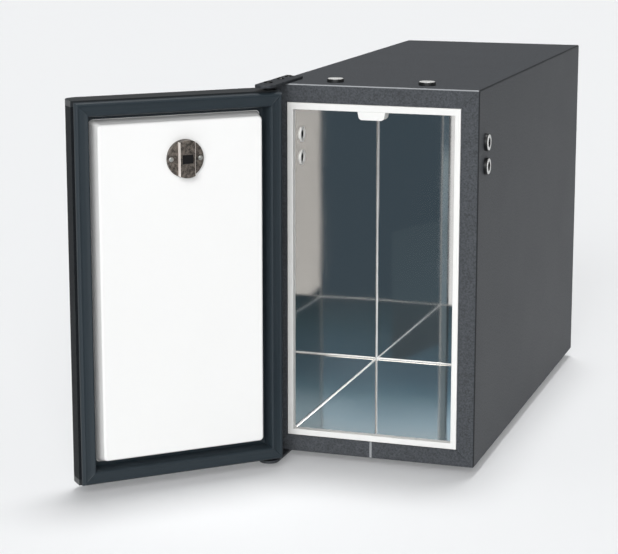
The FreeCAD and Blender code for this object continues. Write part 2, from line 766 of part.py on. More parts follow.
def door_cap(name, plate, plug, bush):
    """Moulded end cap of the door pan: a flush plate, a plug inside the skin and a bore for the bush."""
    flush = new_body(f"{name}_plate")
    pan_outline(flush, "0", *plate)
    round_pan(flush, "0")
    fitted = new_body(f"{name}_plug")
    pan_outline(fitted, "1", *plug)
    round_pan(fitted, "1")
    bore = rod(f"{name}_bore", "z", "bush_radius + bush_play", ("hinge_x", AXIS_Y), *bush)
    tray = (f"{MOAT_Y} - liner_thick", f"{PAN_BACK} + 1")
    rows = door_rows(f"{EDGE_IN} - liner_thick")
    moat = box(f"{name}_moat", both(f"{GASKET_IN} + liner_thick"), tray, rows)
    return swing(cut(name, fuse(f"{name}_blank", flush, fitted), bore, moat))


def door_top_cap():
    low, high = door_rows("cap_thick")
    plug = (f"{high} - cap_plug", f"{high} + 1")
    return door_cap("door_top_cap", (high, DOOR_HIGH), plug, (f"{DOOR_HIGH} - pin_reach", f"{DOOR_HIGH} + 1"))


def door_bottom_cap():
    low, high = door_rows("cap_thick")
    plug = (f"{low} - 1", f"{low} + cap_plug")
    return door_cap("door_bottom_cap", (DOOR_LOW, low), plug, (f"{DOOR_LOW} - 1", f"{DOOR_LOW} + pin_reach"))


def plateau(name, inset):
    """The door liner's raised middle with sloped flanks, rounded corners and face edges, less an inset."""
    block = doc.addObject("Part::Wedge", f"{name}_block")
    foot = f"{EDGE_PLATEAU} + ({inset})"
    top = f"{foot} + plateau_draft"
    spans = {
        "X": both(f"{HALF} - ({foot})"),
        "Y": (f"{MOAT_Y} - liner_thick", f"{PLATEAU_Y} - ({inset})"),
        "Z": door_rows(foot),
        "X2": both(f"{HALF} - ({top})"),
        "Z2": door_rows(top),
    }
    for prop, (low, high) in spans.items():
        drive(block, f"{prop}min", low)
        drive(block, f"{prop}max", high)
    corners = fillet(f"{name}_corners", block, "plateau_corner", lambda edge: edge.BoundBox.YLength > 1)
    face = -size("casing_depth") / 2 - size("plateau_back") - float(inset)
    return fillet(f"{name}_rounded", corners, "plateau_round", lambda edge: at(edge.BoundBox.YMin, face))


def door_liner():
    """White drawn liner: a flange under the gasket, a moat all round and a raised plateau."""
    flange_rows = door_rows("gasket_inset + 6")
    flange = box("liner_flange", both(f"{GASKET_OUT} - 6"), (PAN_BACK, SEAT_Y), flange_rows)
    tray_rows = door_rows(f"{EDGE_IN} - liner_thick")
    tray_depth = (f"{MOAT_Y} - liner_thick", SEAT_Y)
    tray = box("liner_tray", both(f"{GASKET_IN} + liner_thick"), tray_depth, tray_rows)
    moat_rows = door_rows(EDGE_IN)
    moat = box("liner_moat", both(GASKET_IN), (MOAT_Y, f"{SEAL_Y} + 5"), moat_rows)
    dish = cut("liner_dish", fuse("liner_blank", flange, tray), moat)
    raised = fuse("liner_raised", dish, plateau("plateau_outside", "0"))
    return swing(cut("door_liner", raised, plateau("plateau_inside", size("liner_thick"))))


def door_foam():
    """Foamed core between the door's skin, caps and liner."""
    low, high = door_rows("cap_thick + cap_plug")
    body = new_body("door_foam_pan")
    pan_outline(body, "door_sheet", low, high)
    round_pan(body, size("door_sheet"))
    tray_rows = door_rows(f"{EDGE_IN} - liner_thick")
    tray = box("foam_tray", both(f"{GASKET_IN} + liner_thick"), (f"{MOAT_Y} - liner_thick", FRONT), tray_rows)
    bushes = [
        rod(f"door_foam_bush_{i}", "z", "bush_radius + 1", ("hinge_x", AXIS_Y), *span)
        for i, span in enumerate(((DOOR_LOW, f"{DOOR_LOW} + 20"), (f"{DOOR_HIGH} - 20", DOOR_HIGH)))
    ]
    core = cut("door_foam_core", body, tray, *bushes)
    return swing(fuse("door_foam", core, plateau("plateau_core", size("liner_thick"))))


def gasket_ring(name, out, inside, depth):
    """A rectangular ring round the door between two insets, over a depth."""
    block = box(f"{name}_block", both(f"{HALF} - ({out})"), depth, door_rows(f"({out})"))
    hole_depth = (f"{depth[0]} - 1", f"{depth[1]} + 1")
    hole = box(f"{name}_hole", both(f"{HALF} - ({inside})"), hole_depth, door_rows(f"({inside})"))
    return cut(name, block, hole)


def door_gasket():
    """Soft magnetic seal round the door: rounded outside, a magnet channel, and a skirt down in the moat."""
    seat = gasket_ring("gasket_seat", EDGE_OUT, EDGE_IN, (SEAT_Y, SEAL_Y))
    skirt_in = f"{EDGE_IN} + skirt_thick"
    wall = gasket_ring("gasket_wall", EDGE_IN, skirt_in, (MOAT_Y, f"{SEAL_Y} - gasket_lip"))
    floor_depth = (MOAT_Y, f"{MOAT_Y} + skirt_thick")
    floor = gasket_ring("gasket_floor", skirt_in, f"{EDGE_PLATEAU} + plateau_corner", floor_depth)
    skirt = cut("gasket_skirt", floor, plateau("gasket_clear", -0.3))
    ring = fuse("gasket_ring", seat, wall, skirt)
    channel_out = f"{EDGE_OUT} + (gasket_width - magnet_width) / 2"
    channel_depth = (f"{SEAT_Y} - 1", f"{SEAL_Y} - gasket_lip")
    channel = gasket_ring("gasket_channel", channel_out, f"{channel_out} + magnet_width", channel_depth)
    blank = cut("gasket_blank", ring, channel)
    seal = -size("casing_depth") / 2 - size("door_seal_gap")
    width = size("casing_width") / 2 - size("gasket_inset")
    bottom = size("foot_height") + size("door_bottom") + size("gasket_inset")
    top = size("foot_height") + size("door_top") - size("gasket_inset")

    def outer_face_edge(edge):
        bounds = edge.BoundBox
        on_side = at(abs(bounds.XMin), width) and at(bounds.XMin, bounds.XMax)
        on_end = at(bounds.ZMin, bounds.ZMax) and (at(bounds.ZMin, bottom) or at(bounds.ZMin, top))
        return at(bounds.YMin, seal) and (on_side or on_end)

    return swing(fillet("door_gasket", blank, "gasket_round", outer_face_edge))


def gasket_magnets():
    """Four bonded magnet strips in the gasket's channel, cut square with a gap at each corner."""
    inset = f"({EDGE_OUT} + (gasket_width - magnet_width) / 2 + 0.2)"
    end = f"({inset} + magnet_width + 1)"
    width = "(magnet_width - 0.4)"
    depth = (f"{SEAL_Y} - gasket_lip - magnet_thick", f"{SEAL_Y} - gasket_lip")
    far = f"({HALF} - {inset})"
    near = f"({far} - {width})"
    strips = [
        box("magnet_free", (near, far), depth, door_rows(end)),
        box("magnet_hinge", (f"-{far}", f"-{near}"), depth, door_rows(end)),
        box("magnet_low", both(near), depth, (f"{DOOR_LOW} + {inset}", f"{DOOR_LOW} + {inset} + {width}")),
        box("magnet_high", both(near), depth, (f"{DOOR_HIGH} - {inset} - {width}", f"{DOOR_HIGH} - {inset}")),
    ]
    return swing(group("gasket_magnets", strips))


def hinge_bush(name, tube, flange, bore):
    """Nylon bush in a door cap, with a thrust flange against the hinge arm's side."""
    centre = ("hinge_x", AXIS_Y)
    sleeve = rod(f"{name}_tube", "z", "bush_radius", centre, *tube)
    collar = rod(f"{name}_collar", "z", "bush_flange", centre, *flange)
    hole = rod(f"{name}_hole", "z", "pin_radius + bush_play", centre, *bore)
    return swing(cut(name, fuse(f"{name}_blank", sleeve, collar), hole))


def dial_base():
    """Round fitting on the door liner: a flat disc with a bevelled rim."""
    centre = ("dial_x", "foot_height + dial_height")
    base = rod("dial_disc", "y", "dial_radius", centre, PLATEAU_Y, f"{PLATEAU_Y} + dial_thick")
    face = size("dial_thick") - size("casing_depth") / 2 - size("plateau_back")
    disc = fillet("dial_rim", base, "frame_round", lambda edge: at(edge.BoundBox.YMin, face))
    screws = dial_screw_rods("dial_screw_hole", "screw_radius + 0.1", "dial_thick - 3", "dial_thick + 1")
    return swing(cut("dial_base", disc, *screws))


def dial_screw_rods(name, radius, low, high):
    """Rods at the disc's two screws, between distances off the liner's face."""
    rods = []
    for reach in both("dial_screw_reach"):
        centre = (f"dial_x + {reach}", "foot_height + dial_height")
        rods.append(rod(name, "y", radius, centre, f"{PLATEAU_Y} + {low}", f"{PLATEAU_Y} + {high}"))
    return rods


def dial_bridge():
    """Raised upright bar across the disc, cut to the disc's round outline."""
    low = f"{PLATEAU_Y} + dial_thick"
    high = f"{low} + bridge_proud"
    centre = ("dial_x", "foot_height + dial_height")
    disc = rod("bridge_round", "y", "dial_radius - 0.3", centre, low, high)
    z = (f"{centre[1]} - dial_radius - 1", f"{centre[1]} + dial_radius + 1")
    sides = ("dial_x - bridge_width / 2", "dial_x + bridge_width / 2")
    bar = box("bridge_bar", sides, (low, high), z)
    shaped = doc.addObject("Part::Common", "bridge_shape")
    shaped.Base = bar
    shaped.Tool = disc
    face = size("dial_thick") + size("bridge_proud") - size("casing_depth") / 2 - size("plateau_back")
    rounded = fillet("bridge_rounded", shaped, "frame_round", lambda edge: at(edge.BoundBox.YMin, face))
    seat = dial_window_block("bridge_seat", "0.1", (f"{high} - 0.8", f"{high} + 1"))
    return swing(cut("dial_bridge", rounded, seat))


def dial_window_block(name, play, depth):
    """A block of the window's outline, with play all round."""
    middle = "(foot_height + dial_height)"
    rows = (f"{middle} - window_height / 2 - {play}", f"{middle} + window_height / 2 + {play}")
    sides = (f"dial_x - window_width / 2 - {play}", f"dial_x + window_width / 2 + {play}")
    return box(name, sides, depth, rows)


def dial_window():
    """Bare black window in the raised bar."""
    low = f"{PLATEAU_Y} + dial_thick + bridge_proud - 0.8"
    return swing(group("dial_window", [dial_window_block("window_plate", "0", (low, f"{low} + 0.7"))]))


def dial_screws():
    """Two pan-head screws that hold the disc."""
    shanks = dial_screw_rods("dial_shank", "screw_radius - 0.5", "dial_thick - 2.9", "dial_thick + 0.5")
    heads = dial_screw_rods("dial_head", "screw_radius + 0.3", "dial_thick", "dial_thick + 0.9")
    return swing(group("dial_screws", [fuse("dial_screw", *pair) for pair in zip(shanks, heads)]))


def compressor_shell():
    """Hermetic compressor: two drawn steel halves welded at a flange, with domed ends."""
    body = new_body("compressor_shell")
    sketch = new_sketch(body, "XZ_Plane")
    middle = "compressor_height / 2"
    corners = [
        ("0", "0"),
        ("compressor_radius", "0"),
        ("compressor_radius", f"{middle} - 2"),
        ("compressor_radius + 4", f"{middle} - 2"),
        ("compressor_radius + 4", f"{middle} + 2"),
        ("compressor_radius", f"{middle} + 2"),
        ("compressor_radius", "compressor_height"),
        ("0", "compressor_height"),
    ]
    revolve(body, polygon(sketch, corners))
    ends = (0.0, size("compressor_height"))
    is_rim = lambda edge: any(at(edge.BoundBox.ZMin, z) and at(edge.BoundBox.ZMax, z) for z in ends)
    body_fillet(body, "compressor_radius / 4", is_rim)
    drive(body, "Placement.Base.y", "unit_y")
    drive(body, "Placement.Base.z", "foot_height + casing_sheet + 12.5")
    return body


def compressor_plate():
    """Pressed foot plate under the compressor, with four corner holes for the mounts."""
    floor = "(foot_height + casing_sheet + 10)"
    plate = box("mount_plate", both("85"), ("unit_y - 68", "unit_y + 68"), (floor, f"{floor} + 2.5"))
    rounded = fillet("mount_plate_round", plate, "door_round", lambda edge: runs_along(edge, "z"))
    return cut("compressor_plate", rounded, *mount_rods("mount_hole", "5.3", "9", "14"))


def mount_rods(name, radius, low, high):
    """Rods at the compressor's four mounts, above the casing's floor."""
    floor = "(foot_height + casing_sheet)"
    rods = []
    for x in both("72"):
        for y in ("unit_y - 56", "unit_y + 56"):
            rods.append(rod(name, "z", radius, (x, y), f"{floor} + {low}", f"{floor} + {high}"))
    return rods


def compressor_mounts():
    """Four rubber mounts that carry the foot plate and fill its holes."""
    blocks = mount_rods("mount_block", "10", "0", "10")
    necks = mount_rods("mount_neck", "5", "10", "14")
    return group("compressor_mounts", [fuse("mount", *pair) for pair in zip(blocks, necks)])


def terminal_cover():
    """Moulded cover of the compressor's terminals and starting relay, shaped to the shell."""
    low = "foot_height + casing_sheet + 26"
    block = box("terminal_block", ("50", "84"), ("unit_y - 26", "unit_y + 26"), (low, f"{low} + 40"))
    rounded = fillet("terminal_round", block, "bend_radius", lambda edge: edge.BoundBox.XMin > 80)
    shell = rod("terminal_shell", "z", "compressor_radius", ("0", "unit_y"), f"{low} - 1", f"{low} + 41")
    return cut("terminal_cover", rounded, shell)


def condenser():
    """Flat-tube condenser: two round headers joined by level flat tubes."""
    y = "(shroud_y - condenser_thick / 2)"
    rows = ("shroud_bottom + 8", "shroud_top - 10")
    headers = [rod("condenser_header", "z", "header_radius", (x, y), *rows) for x in both("header_x")]
    step = f"(({rows[1]}) - ({rows[0]})) / {CONDENSER_TUBES}"
    depth = (f"{y} - 8", f"{y} + 8")
    tubes = []
    for i in range(CONDENSER_TUBES):
        z = f"({rows[0]} + {step} * {i + 0.5})"
        tubes.append(box("condenser_tube", both("header_x"), depth, (f"{z} - 1", f"{z} + 1")))
    return fuse("condenser", *headers, *tubes)


def fan_shroud():
    """Sheet partition behind the condenser with a round mouth and a short ring for the fan."""
    rows = ("shroud_bottom", "shroud_top")
    plate = box("shroud_plate", both(f"{HALF} - casing_sheet"), ("shroud_y", "shroud_y + 2"), rows)
    centre = ("0", "fan_height")
    ring = rod("shroud_ring", "y", "fan_ring + 2", centre, "shroud_y", "shroud_y + 28")
    mouth = rod("shroud_mouth", "y", "fan_ring", centre, "shroud_y - 1", "shroud_y + 29")
    return cut("fan_shroud", fuse("shroud_blank", plate, ring), mouth)


def fan_bracket():
    """Crossed flat arms on the fan ring that carry the motor."""
    depth = ("shroud_y + 28", "shroud_y + 30")
    level = box("bracket_level", both("fan_ring + 2"), depth, ("fan_height - 7", "fan_height + 7"))
    rows = ("fan_height - fan_ring - 2", "fan_height + fan_ring + 2")
    upright = box("bracket_upright", both("7"), depth, rows)
    hole = rod("bracket_hole", "y", "5", ("0", "fan_height"), "shroud_y + 27", "shroud_y + 31")
    return cut("fan_bracket", fuse("bracket_arms", level, upright), hole)


def fan_motor():
    """Round fan motor on the bracket's rear, with a bore for the rotor's shaft."""
    centre = ("0", "fan_height")
    case = rod("motor_case", "y", "30", centre, "shroud_y + 30", "shroud_y + 62")
    rear = size("shroud_y") + 62
    rounded = fillet("motor_round", case, "plateau_round", lambda edge: at(edge.BoundBox.YMin, rear))
    bore = rod("motor_bore", "y", "pin_radius + bush_play", centre, "shroud_y + 29", "shroud_y + 58")
    return cut("fan_motor", rounded, bore)


def blade_section(body, radius, chord, pitch):
    """One slanted section of a fan blade on a plane across the blade's length."""
    sketch = new_sketch(body, "YZ_Plane", radius)
    along = (math.cos(math.radians(pitch)) * chord / 2, math.sin(math.radians(pitch)) * chord / 2)
    thick = (-math.sin(math.radians(pitch)) * 0.9, math.cos(math.radians(pitch)) * 0.9)
    signs = ((-1, -1), (1, -1), (1, 1), (-1, 1))
    corners = [(a * along[0] + b * thick[0], a * along[1] + b * thick[1]) for a, b in signs]
    return polygon(sketch, [(f"{u:.3f}", f"{v:.3f}") for u, v in corners])


def fan_rotor():
    """Axial rotor: a hub with a shaft and a ring of twisted blades."""
    body = new_body("fan_rotor")
    hub = new_sketch(body, "XZ_Plane")
    corners = [
        ("0", "-rotor_depth / 2"),
        ("rotor_hub", "-rotor_depth / 2"),
        ("rotor_hub", "rotor_depth / 2"),
        ("pin_radius", "rotor_depth / 2"),
        ("pin_radius", "rotor_depth / 2 + 30"),
        ("0", "rotor_depth / 2 + 30"),
    ]
    revolve(body, polygon(hub, corners))
    doc.recompute()
    root = blade_section(body, "rotor_hub - 3", 22, 42)
    tip = blade_section(body, "rotor_radius", 40, 20)
    blade = body.newObject("PartDesign::AdditiveLoft", "fan_blade")
    blade.Profile = root
    blade.Sections = [tip]
    doc.recompute()
    blades = body.newObject("PartDesign::PolarPattern", "fan_blades")
    blades.Originals = [blade]
    blades.Axis = (hub, ["V_Axis"])
    blades.Angle = 360
    blades.Occurrences = FAN_BLADES
    body.Tip = blades
    body.Placement = FreeCAD.Placement(FreeCAD.Vector(), AXES["y"])
    drive(body, "Placement.Base.y", "shroud_y + 16")
    drive(body, "Placement.Base.z", "fan_height")
    return body


def filter_drier():
    """Copper filter drier under the condenser's outlet, drawn in at both ends."""
    body = new_body("filter_drier")
    sketch = new_sketch(body, "XZ_Plane")
    corners = [("0", "0"), ("3", "0"), ("9", "12"), ("9", "72"), ("3", "84"), ("0", "84")]
    revolve(body, polygon(sketch, corners))
    drive(body, "Placement.Base.x", "header_x")
    drive(body, "Placement.Base.y", "shroud_y - condenser_thick / 2")
    drive(body, "Placement.Base.z", "80")
    return body


def refrigerant_pipes():
    """Copper pipes between the compressor, the condenser, the drier and the evaporator's tube ends."""
    lid = size("foot_height") + size("casing_sheet") + 12.5 + size("compressor_height")
    stub = -size("casing_depth") / 2 + size("foam_depth") + 12
    header_x = size("header_x")
    header_y = size("shroud_y") - size("condenser_thick") / 2
    header_z = size("shroud_bottom") + 8
    unit_y = size("unit_y")
    suction = [(-60, stub, 130), (-60, stub + 16, 130), (-60, stub + 16, lid + 22)]
    suction += [(-20, unit_y - 25, lid + 22), (-20, unit_y - 25, lid)]
    discharge = [(25, unit_y + 20, lid), (25, unit_y + 20, lid + 17), (-header_x, unit_y + 20, lid + 17)]
    discharge += [(-header_x, header_y, lid + 17), (-header_x, header_y, header_z)]
    capillary = [(header_x, header_y, 80), (header_x, header_y, 62), (header_x, stub + 12, 62)]
    capillary += [(header_x, stub + 12, 130), (60, stub + 12, 130), (60, stub, 130)]
    return [
        pipe("suction_pipe", 4.0, 8.0, suction),
        pipe("discharge_pipe", 3.0, 8.0, discharge),
        pipe("liquid_pipe", 3.0, 8.0, [(header_x, header_y, header_z), (header_x, header_y, 164)]),
        pipe("capillary_pipe", 2.0, 6.0, capillary),
    ]


def control_box():
    """Moulded box on the casing's left wall for the thermostat and wiring, with a lid line."""
    wall = f"(-{HALF} + casing_sheet)"
    block = box("control_block", (wall, f"{wall} + 24"), ("unit_y - 60", "unit_y + 40"), ("44", "140"))
    inner = size("casing_sheet") - size("casing_width") / 2 + 24
    return fillet("control_box", block, "bend_radius", lambda edge: at(edge.BoundBox.XMax, inner))


def rear_block(name, middle, half_width, half_height, depth):
    """A block centred on a fitting of the rear panel, between depths off the panel's outer face."""
    face = f"{BACK} + rear_sheet"
    across = (f"{middle} - {half_width}", f"{middle} + {half_width}")
    rows = (f"inlet_z - {half_height}", f"inlet_z + {half_height}")
    return box(name, across, (f"{face} + {depth[0]}", f"{face} + {depth[1]}"), rows)


def mains_inlet():
    """Moulded mains inlet with a flange on the rear panel and a socket for a lead."""
    flange = rear_block("inlet_flange", "inlet_x", 24, 14, ("0", "3"))
    rounded = fillet("inlet_round", flange, "plateau_round", lambda edge: runs_along(edge, "y"))
    shell = rear_block("inlet_shell", "inlet_x", 14, 10.5, ("-22", "1"))
    socket = rear_block("inlet_socket", "inlet_x", 12, 8.5, ("-15", "4"))
    return cut("mains_inlet", fuse("inlet_blank", rounded, shell), socket)


def inlet_pins():
    """Three flat contact pins in the inlet's socket."""
    face = f"({BACK} + rear_sheet)"
    depth = (f"{face} - 15", f"{face} - 2")
    pins = []
    for x, z in ((-7, -3), (0, 1), (7, -3)):
        across = (f"inlet_x + {x} - 1", f"inlet_x + {x} + 1")
        pins.append(box("inlet_pin", across, depth, (f"inlet_z + {z} - 2", f"inlet_z + {z} + 2")))
    return group("inlet_pins", pins)


def switch_housing():
    """Frame of the rocker switch in the rear panel."""
    rim = rear_block("switch_rim", "switch_x", 12, 9, ("0", "2"))
    shell = rear_block("switch_shell", "switch_x", 10, 7, ("-18", "1"))
    space = rear_block("switch_space", "switch_x", 8.5, 5.5, ("-10", "3"))
    centre = ("switch_x", f"{BACK} + rear_sheet")
    pivot = rod("switch_pivot", "z", "1.06", centre, "inlet_z - 6.8", "inlet_z + 6.8")
    return cut("switch_housing", fuse("switch_blank", rim, shell), space, pivot)


def switch_rocker():
    """Rocker key with two slanted faces that meet in a shallow vee, tilted to its off side."""
    body = new_body("switch_rocker")
    sketch = new_sketch(body, "XY_Plane", "-5")
    corners = [("-7.6", "4.6"), ("-7.2", "-3.5"), ("7.2", "-3.5"), ("7.6", "4.6"), ("0", "3.2")]
    pad(body, polygon(sketch, corners), "10")
    pivot = circle(new_sketch(body, "XY_Plane", "-6.5"), "1", "0", "0")
    pad(body, pivot, "13")
    tilt = FreeCAD.Rotation(FreeCAD.Vector(0, 0, 1), size("rocker_tilt"))
    body.Placement = FreeCAD.Placement(FreeCAD.Vector(), tilt)
    drive(body, "Placement.Base.x", "switch_x")
    drive(body, "Placement.Base.y", f"{BACK} + rear_sheet")
    drive(body, "Placement.Base.z", "inlet_z")
    return body


UPPER_FLANGE = (DOOR_HIGH, f"{DOOR_HIGH} + bush_flange_thick")
LOWER_FLANGE = (f"{BASE} + bush_play", DOOR_LOW)
UPPER_TUBE = (f"{DOOR_HIGH} - pin_reach", DOOR_HIGH)
LOWER_TUBE = (DOOR_LOW, f"{DOOR_LOW} + pin_reach")

pieces = [
    outer_casing(),
    rear_panel(),
    panel_screws(),
    *foam_slabs(),
    inner_liner(),
    front_frame(),
    sensor_cover(),
    bulkhead(),
    evaporator(),
    port_sleeves(),
    port_rings(),
    liner_rings(),
    top_plugs(),
    plug_discs(),
    hinge_plate("upper_hinge_plate", TOP, "plate_overhang"),
    hinge_plate("lower_hinge_plate", f"{BASE} - plate_thick", "plate_overhang_low"),
    hinge_pin(
        "upper_hinge_pin",
        (f"{DOOR_HIGH} - pin_reach + 2", f"{TOP} + plate_thick"),
        (f"{TOP} + plate_thick", f"{TOP} + plate_thick + pin_head_thick"),
    ),
    hinge_pin(
        "lower_hinge_pin",
        (f"{BASE} - plate_thick", f"{DOOR_LOW} + pin_reach - 2"),
        (f"{BASE} - plate_thick - pin_head_thick", f"{BASE} - plate_thick"),
    ),
    hinge_screws(),
    feet(),
    compressor_shell(),
    compressor_plate(),
    compressor_mounts(),
    terminal_cover(),
    condenser(),
    fan_shroud(),
    fan_bracket(),
    fan_motor(),
    fan_rotor(),
    filter_drier(),
    *refrigerant_pipes(),
    control_box(),
    mains_inlet(),
    inlet_pins(),
    switch_housing(),
    switch_rocker(),
    door_skin(),
    door_top_cap(),
    door_bottom_cap(),
    door_foam(),
    door_liner(),
    door_gasket(),
    gasket_magnets(),
    hinge_bush("upper_bush", UPPER_TUBE, UPPER_FLANGE, (f"{DOOR_HIGH} - pin_reach - 1", f"{DOOR_HIGH} + 2")),
    hinge_bush("lower_bush", LOWER_TUBE, LOWER_FLANGE, (f"{DOOR_LOW} - 2", f"{DOOR_LOW} + pin_reach + 1")),
    dial_base(),
    dial_bridge(),
    dial_window(),
    dial_screws(),
]

doc.recompute()
for thing in doc.Objects:
    if {"Invalid", "Error"} & set(thing.State):
        raise RuntimeError(f"{thing.Label} failed: {thing.State}")
for piece in pieces:
    if piece.Shape.isNull() or not piece.Shape.isValid():
        raise RuntimeError(f"{piece.Label} has no valid shape")

os.makedirs("parts", exist_ok=True)
for piece in pieces:
    piece.Shape.exportStep(f"parts/{piece.Label}.step")
    print(f"{piece.Label}: {len(piece.Shape.Solids)} solids, {piece.Shape.Volume / 1000:.2f} cm3")
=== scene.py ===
import json
import math

import bmesh
import bpy
import numpy as np
from bpy.props import FloatProperty, FloatVectorProperty, IntProperty, PointerProperty
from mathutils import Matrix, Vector


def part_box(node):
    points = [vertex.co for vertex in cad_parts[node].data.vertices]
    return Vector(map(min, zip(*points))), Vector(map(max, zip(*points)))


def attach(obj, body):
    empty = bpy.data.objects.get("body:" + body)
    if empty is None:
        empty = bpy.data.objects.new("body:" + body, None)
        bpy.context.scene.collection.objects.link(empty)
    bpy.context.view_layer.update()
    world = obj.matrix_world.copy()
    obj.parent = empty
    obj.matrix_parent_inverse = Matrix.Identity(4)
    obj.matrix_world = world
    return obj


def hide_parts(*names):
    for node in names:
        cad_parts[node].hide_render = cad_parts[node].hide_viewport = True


bl_info = {
    "name": "Milk Fridge",
    "version": (1, 0, 0),
    "blender": (4, 5, 0),
    "location": "View3D > Sidebar > Milk Fridge",
    "description": "Dresses the packed milk fridge: paint, mirror steel, seal, fittings and studio",
    "category": "Object",
}

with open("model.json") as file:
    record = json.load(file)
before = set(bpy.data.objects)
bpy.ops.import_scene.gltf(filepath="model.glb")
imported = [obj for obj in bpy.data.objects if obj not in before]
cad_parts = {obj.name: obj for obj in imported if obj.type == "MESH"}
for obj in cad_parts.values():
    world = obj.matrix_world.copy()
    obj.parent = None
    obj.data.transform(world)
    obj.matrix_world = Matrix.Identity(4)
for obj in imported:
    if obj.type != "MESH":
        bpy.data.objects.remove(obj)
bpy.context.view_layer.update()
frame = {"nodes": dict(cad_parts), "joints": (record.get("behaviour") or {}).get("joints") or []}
NODES = frame["nodes"]
MM = 0.001

CASING_LOW, CASING_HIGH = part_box("outer_casing")
HALF = CASING_HIGH.x
FRONT = CASING_LOW.y
BACK = CASING_HIGH.y
BASE = CASING_LOW.z
TOP = CASING_HIGH.z
DOOR_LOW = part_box("door_bottom_cap")[0].z
DOOR_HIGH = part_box("door_top_cap")[1].z
HINGE = next(joint for joint in frame["joints"] if joint["name"] == "door_hinge")
HINGE_X, HINGE_Y = HINGE["pos_m"][:2]
# The turn about +z that takes the shut door to its open rest pose.
OPEN_ANGLE = math.radians(HINGE["range_deg"][0])
# The liner's rim round the opening, and the thickness of its sheet.
LINER_RIM = 4 * MM
LINER_SHEET = 0.8 * MM
# Height of the hinge and panel screws' heads.
HEAD_RISE = 1.6 * MM
# The steps in which small quarter rounds are drawn.
QUARTER = np.linspace(0, np.pi / 2, 5)


def linear(code):
    """A hex sRGB colour as linear RGBA: straight up to 0.04045, and a power of 2.4 above it."""
    values = np.array([int(code[i:i + 2], 16) for i in (1, 3, 5)]) / 255
    bent = np.where(values <= 0.04045, values / 12.92, ((values + 0.055) / 1.055) ** 2.4)
    return (*bent.tolist(), 1.0)


def colour(name, description, code):
    """A colour property whose default is a hex value."""
    return FloatVectorProperty(name=name, description=description, subtype="COLOR", size=4, min=0, max=1,
                               default=linear(code))


def length(name, description, millimetres):
    """A length property whose default is given in millimetres."""
    return FloatProperty(name=name, description=description, unit="LENGTH", subtype="DISTANCE",
                         default=millimetres * MM, precision=4)


class CabinetLook(bpy.types.PropertyGroup):
    """Colours and grain of the cabinet."""
    paint: colour("Casing paint", "Powder coat on the casing and its rear panel", "#404347")
    grain: length("Grain width", "Width of the powder coat's grains as drawn", 0.9)
    frame_white: colour("Frame white", "Moulded strip round the opening", "#E8E8E6")
    steel: colour("Liner steel", "Polished stainless sheet", "#DDDBD8")
    # The beads are a painted highlight along the liner's bends
    bead: length("Bead width", "Leg of the sealant beads in the liner's bends", 1.27)
    wave: length("Sheet wave", "Distance between the soft waves in the polished sheet", 110)


class DoorLook(bpy.types.PropertyGroup):
    """Colours and sizes of the door."""
    paint: colour("Door paint", "Painted skin of the door", "#1C1F22")
    cap: colour("End cap grey", "Moulded caps at the door's ends", "#25292C")
    white: colour("Liner white", "Drawn inner panel", "#F2F2F1")
    gasket: colour("Gasket grey", "Soft seal round the door", "#273036")
    gasket_width: length("Gasket width", "Width of the seal's face", 13.8)
    gasket_inset: length("Gasket inset", "From the door's edge to the seal", 1.2)
    gasket_thick: length("Gasket thickness", "From the seal's seat to its face", 9.6)
    moat_width: length("Moat width", "From the seal to the white panel's foot", 5.6)
    moat_depth: length("Moat depth", "From the seal's face to the moat's floor", 19.0)
    seal_gap: length("Seal gap", "Between the seal and the casing when the door is shut", 0.4)


class FittingLook(bpy.types.PropertyGroup):
    """Colours and sizes of the small fittings."""
    black: colour("Fitting black", "Moulded sleeves, plugs and rear fittings", "#18191A")
    grey: colour("Ring grey", "Rings and discs on the ports", "#DCDCDA")
    hinge: colour("Hinge black", "Painted hinge arms", "#33363A")
    zinc: colour("Zinc", "Plated screws and pins", "#B4B4B0")
    dial: colour("Dial grey", "Cast disc on the door", "#544E48")
    screw_head: length("Screw head radius", "Radius of the hinge and panel screws' heads", 4.2)
    facets: IntProperty(name="Facets", description="Segments round each turned piece", default=64, min=16)


class MilkFridgeLook(bpy.types.PropertyGroup):
    """All looks of the milk fridge."""
    cabinet: PointerProperty(type=CabinetLook)
    door: PointerProperty(type=DoorLook)
    fitting: PointerProperty(type=FittingLook)


def add(tree, kind, links=None, **settings):
    """Add a shader node of a kind, with its settings, and link its inputs by name or index."""
    made = tree.nodes.new(f"ShaderNode{kind}")
    for key, value in settings.items():
        if hasattr(made, key):
            setattr(made, key, value)
        else:
            made.inputs[key.replace("_", " ")].default_value = value
    for key, socket in (links or {}).items():
        tree.links.new(socket, made.inputs[key])
    return made


def new_finish(name, base, roughness, metallic=0.0, **sockets):
    """A material with one Principled shader: returns it, its tree, the shader and Object coordinates."""
    material = bpy.data.materials.new(name)
    material.use_nodes = True
    tree = material.node_tree
    shader = tree.nodes["Principled BSDF"]
    values = {"Base_Color": base, "Roughness": roughness, "Metallic": metallic, **sockets}
    for key, value in values.items():
        shader.inputs[key.replace("_", " ")].default_value = value
    place = add(tree, "TexCoord").outputs["Object"]
    return material, tree, shader, place


def shade(base, share):
    """A colour made darker or lighter by a share, at full alpha."""
    return (*(min(1.0, channel * share) for channel in base[:3]), 1.0)


def per_size(size):
    """Scale of a noise whose patches are about one size across: half a wave to each size."""
    return 0.5 / size


def tint_by(tree, shader, factor, under, over):
    """Drive the base colour by a factor from one colour, plain or a node's, to another, and return it."""
    mix = add(tree, "Mix", {"Factor": factor}, data_type="RGBA")
    if isinstance(under, tuple):
        mix.inputs["A"].default_value = under
    else:
        tree.links.new(under, mix.inputs["A"])
    mix.inputs["B"].default_value = over
    tree.links.new(mix.outputs["Result"], shader.inputs["Base Color"])
    return mix.outputs["Result"]


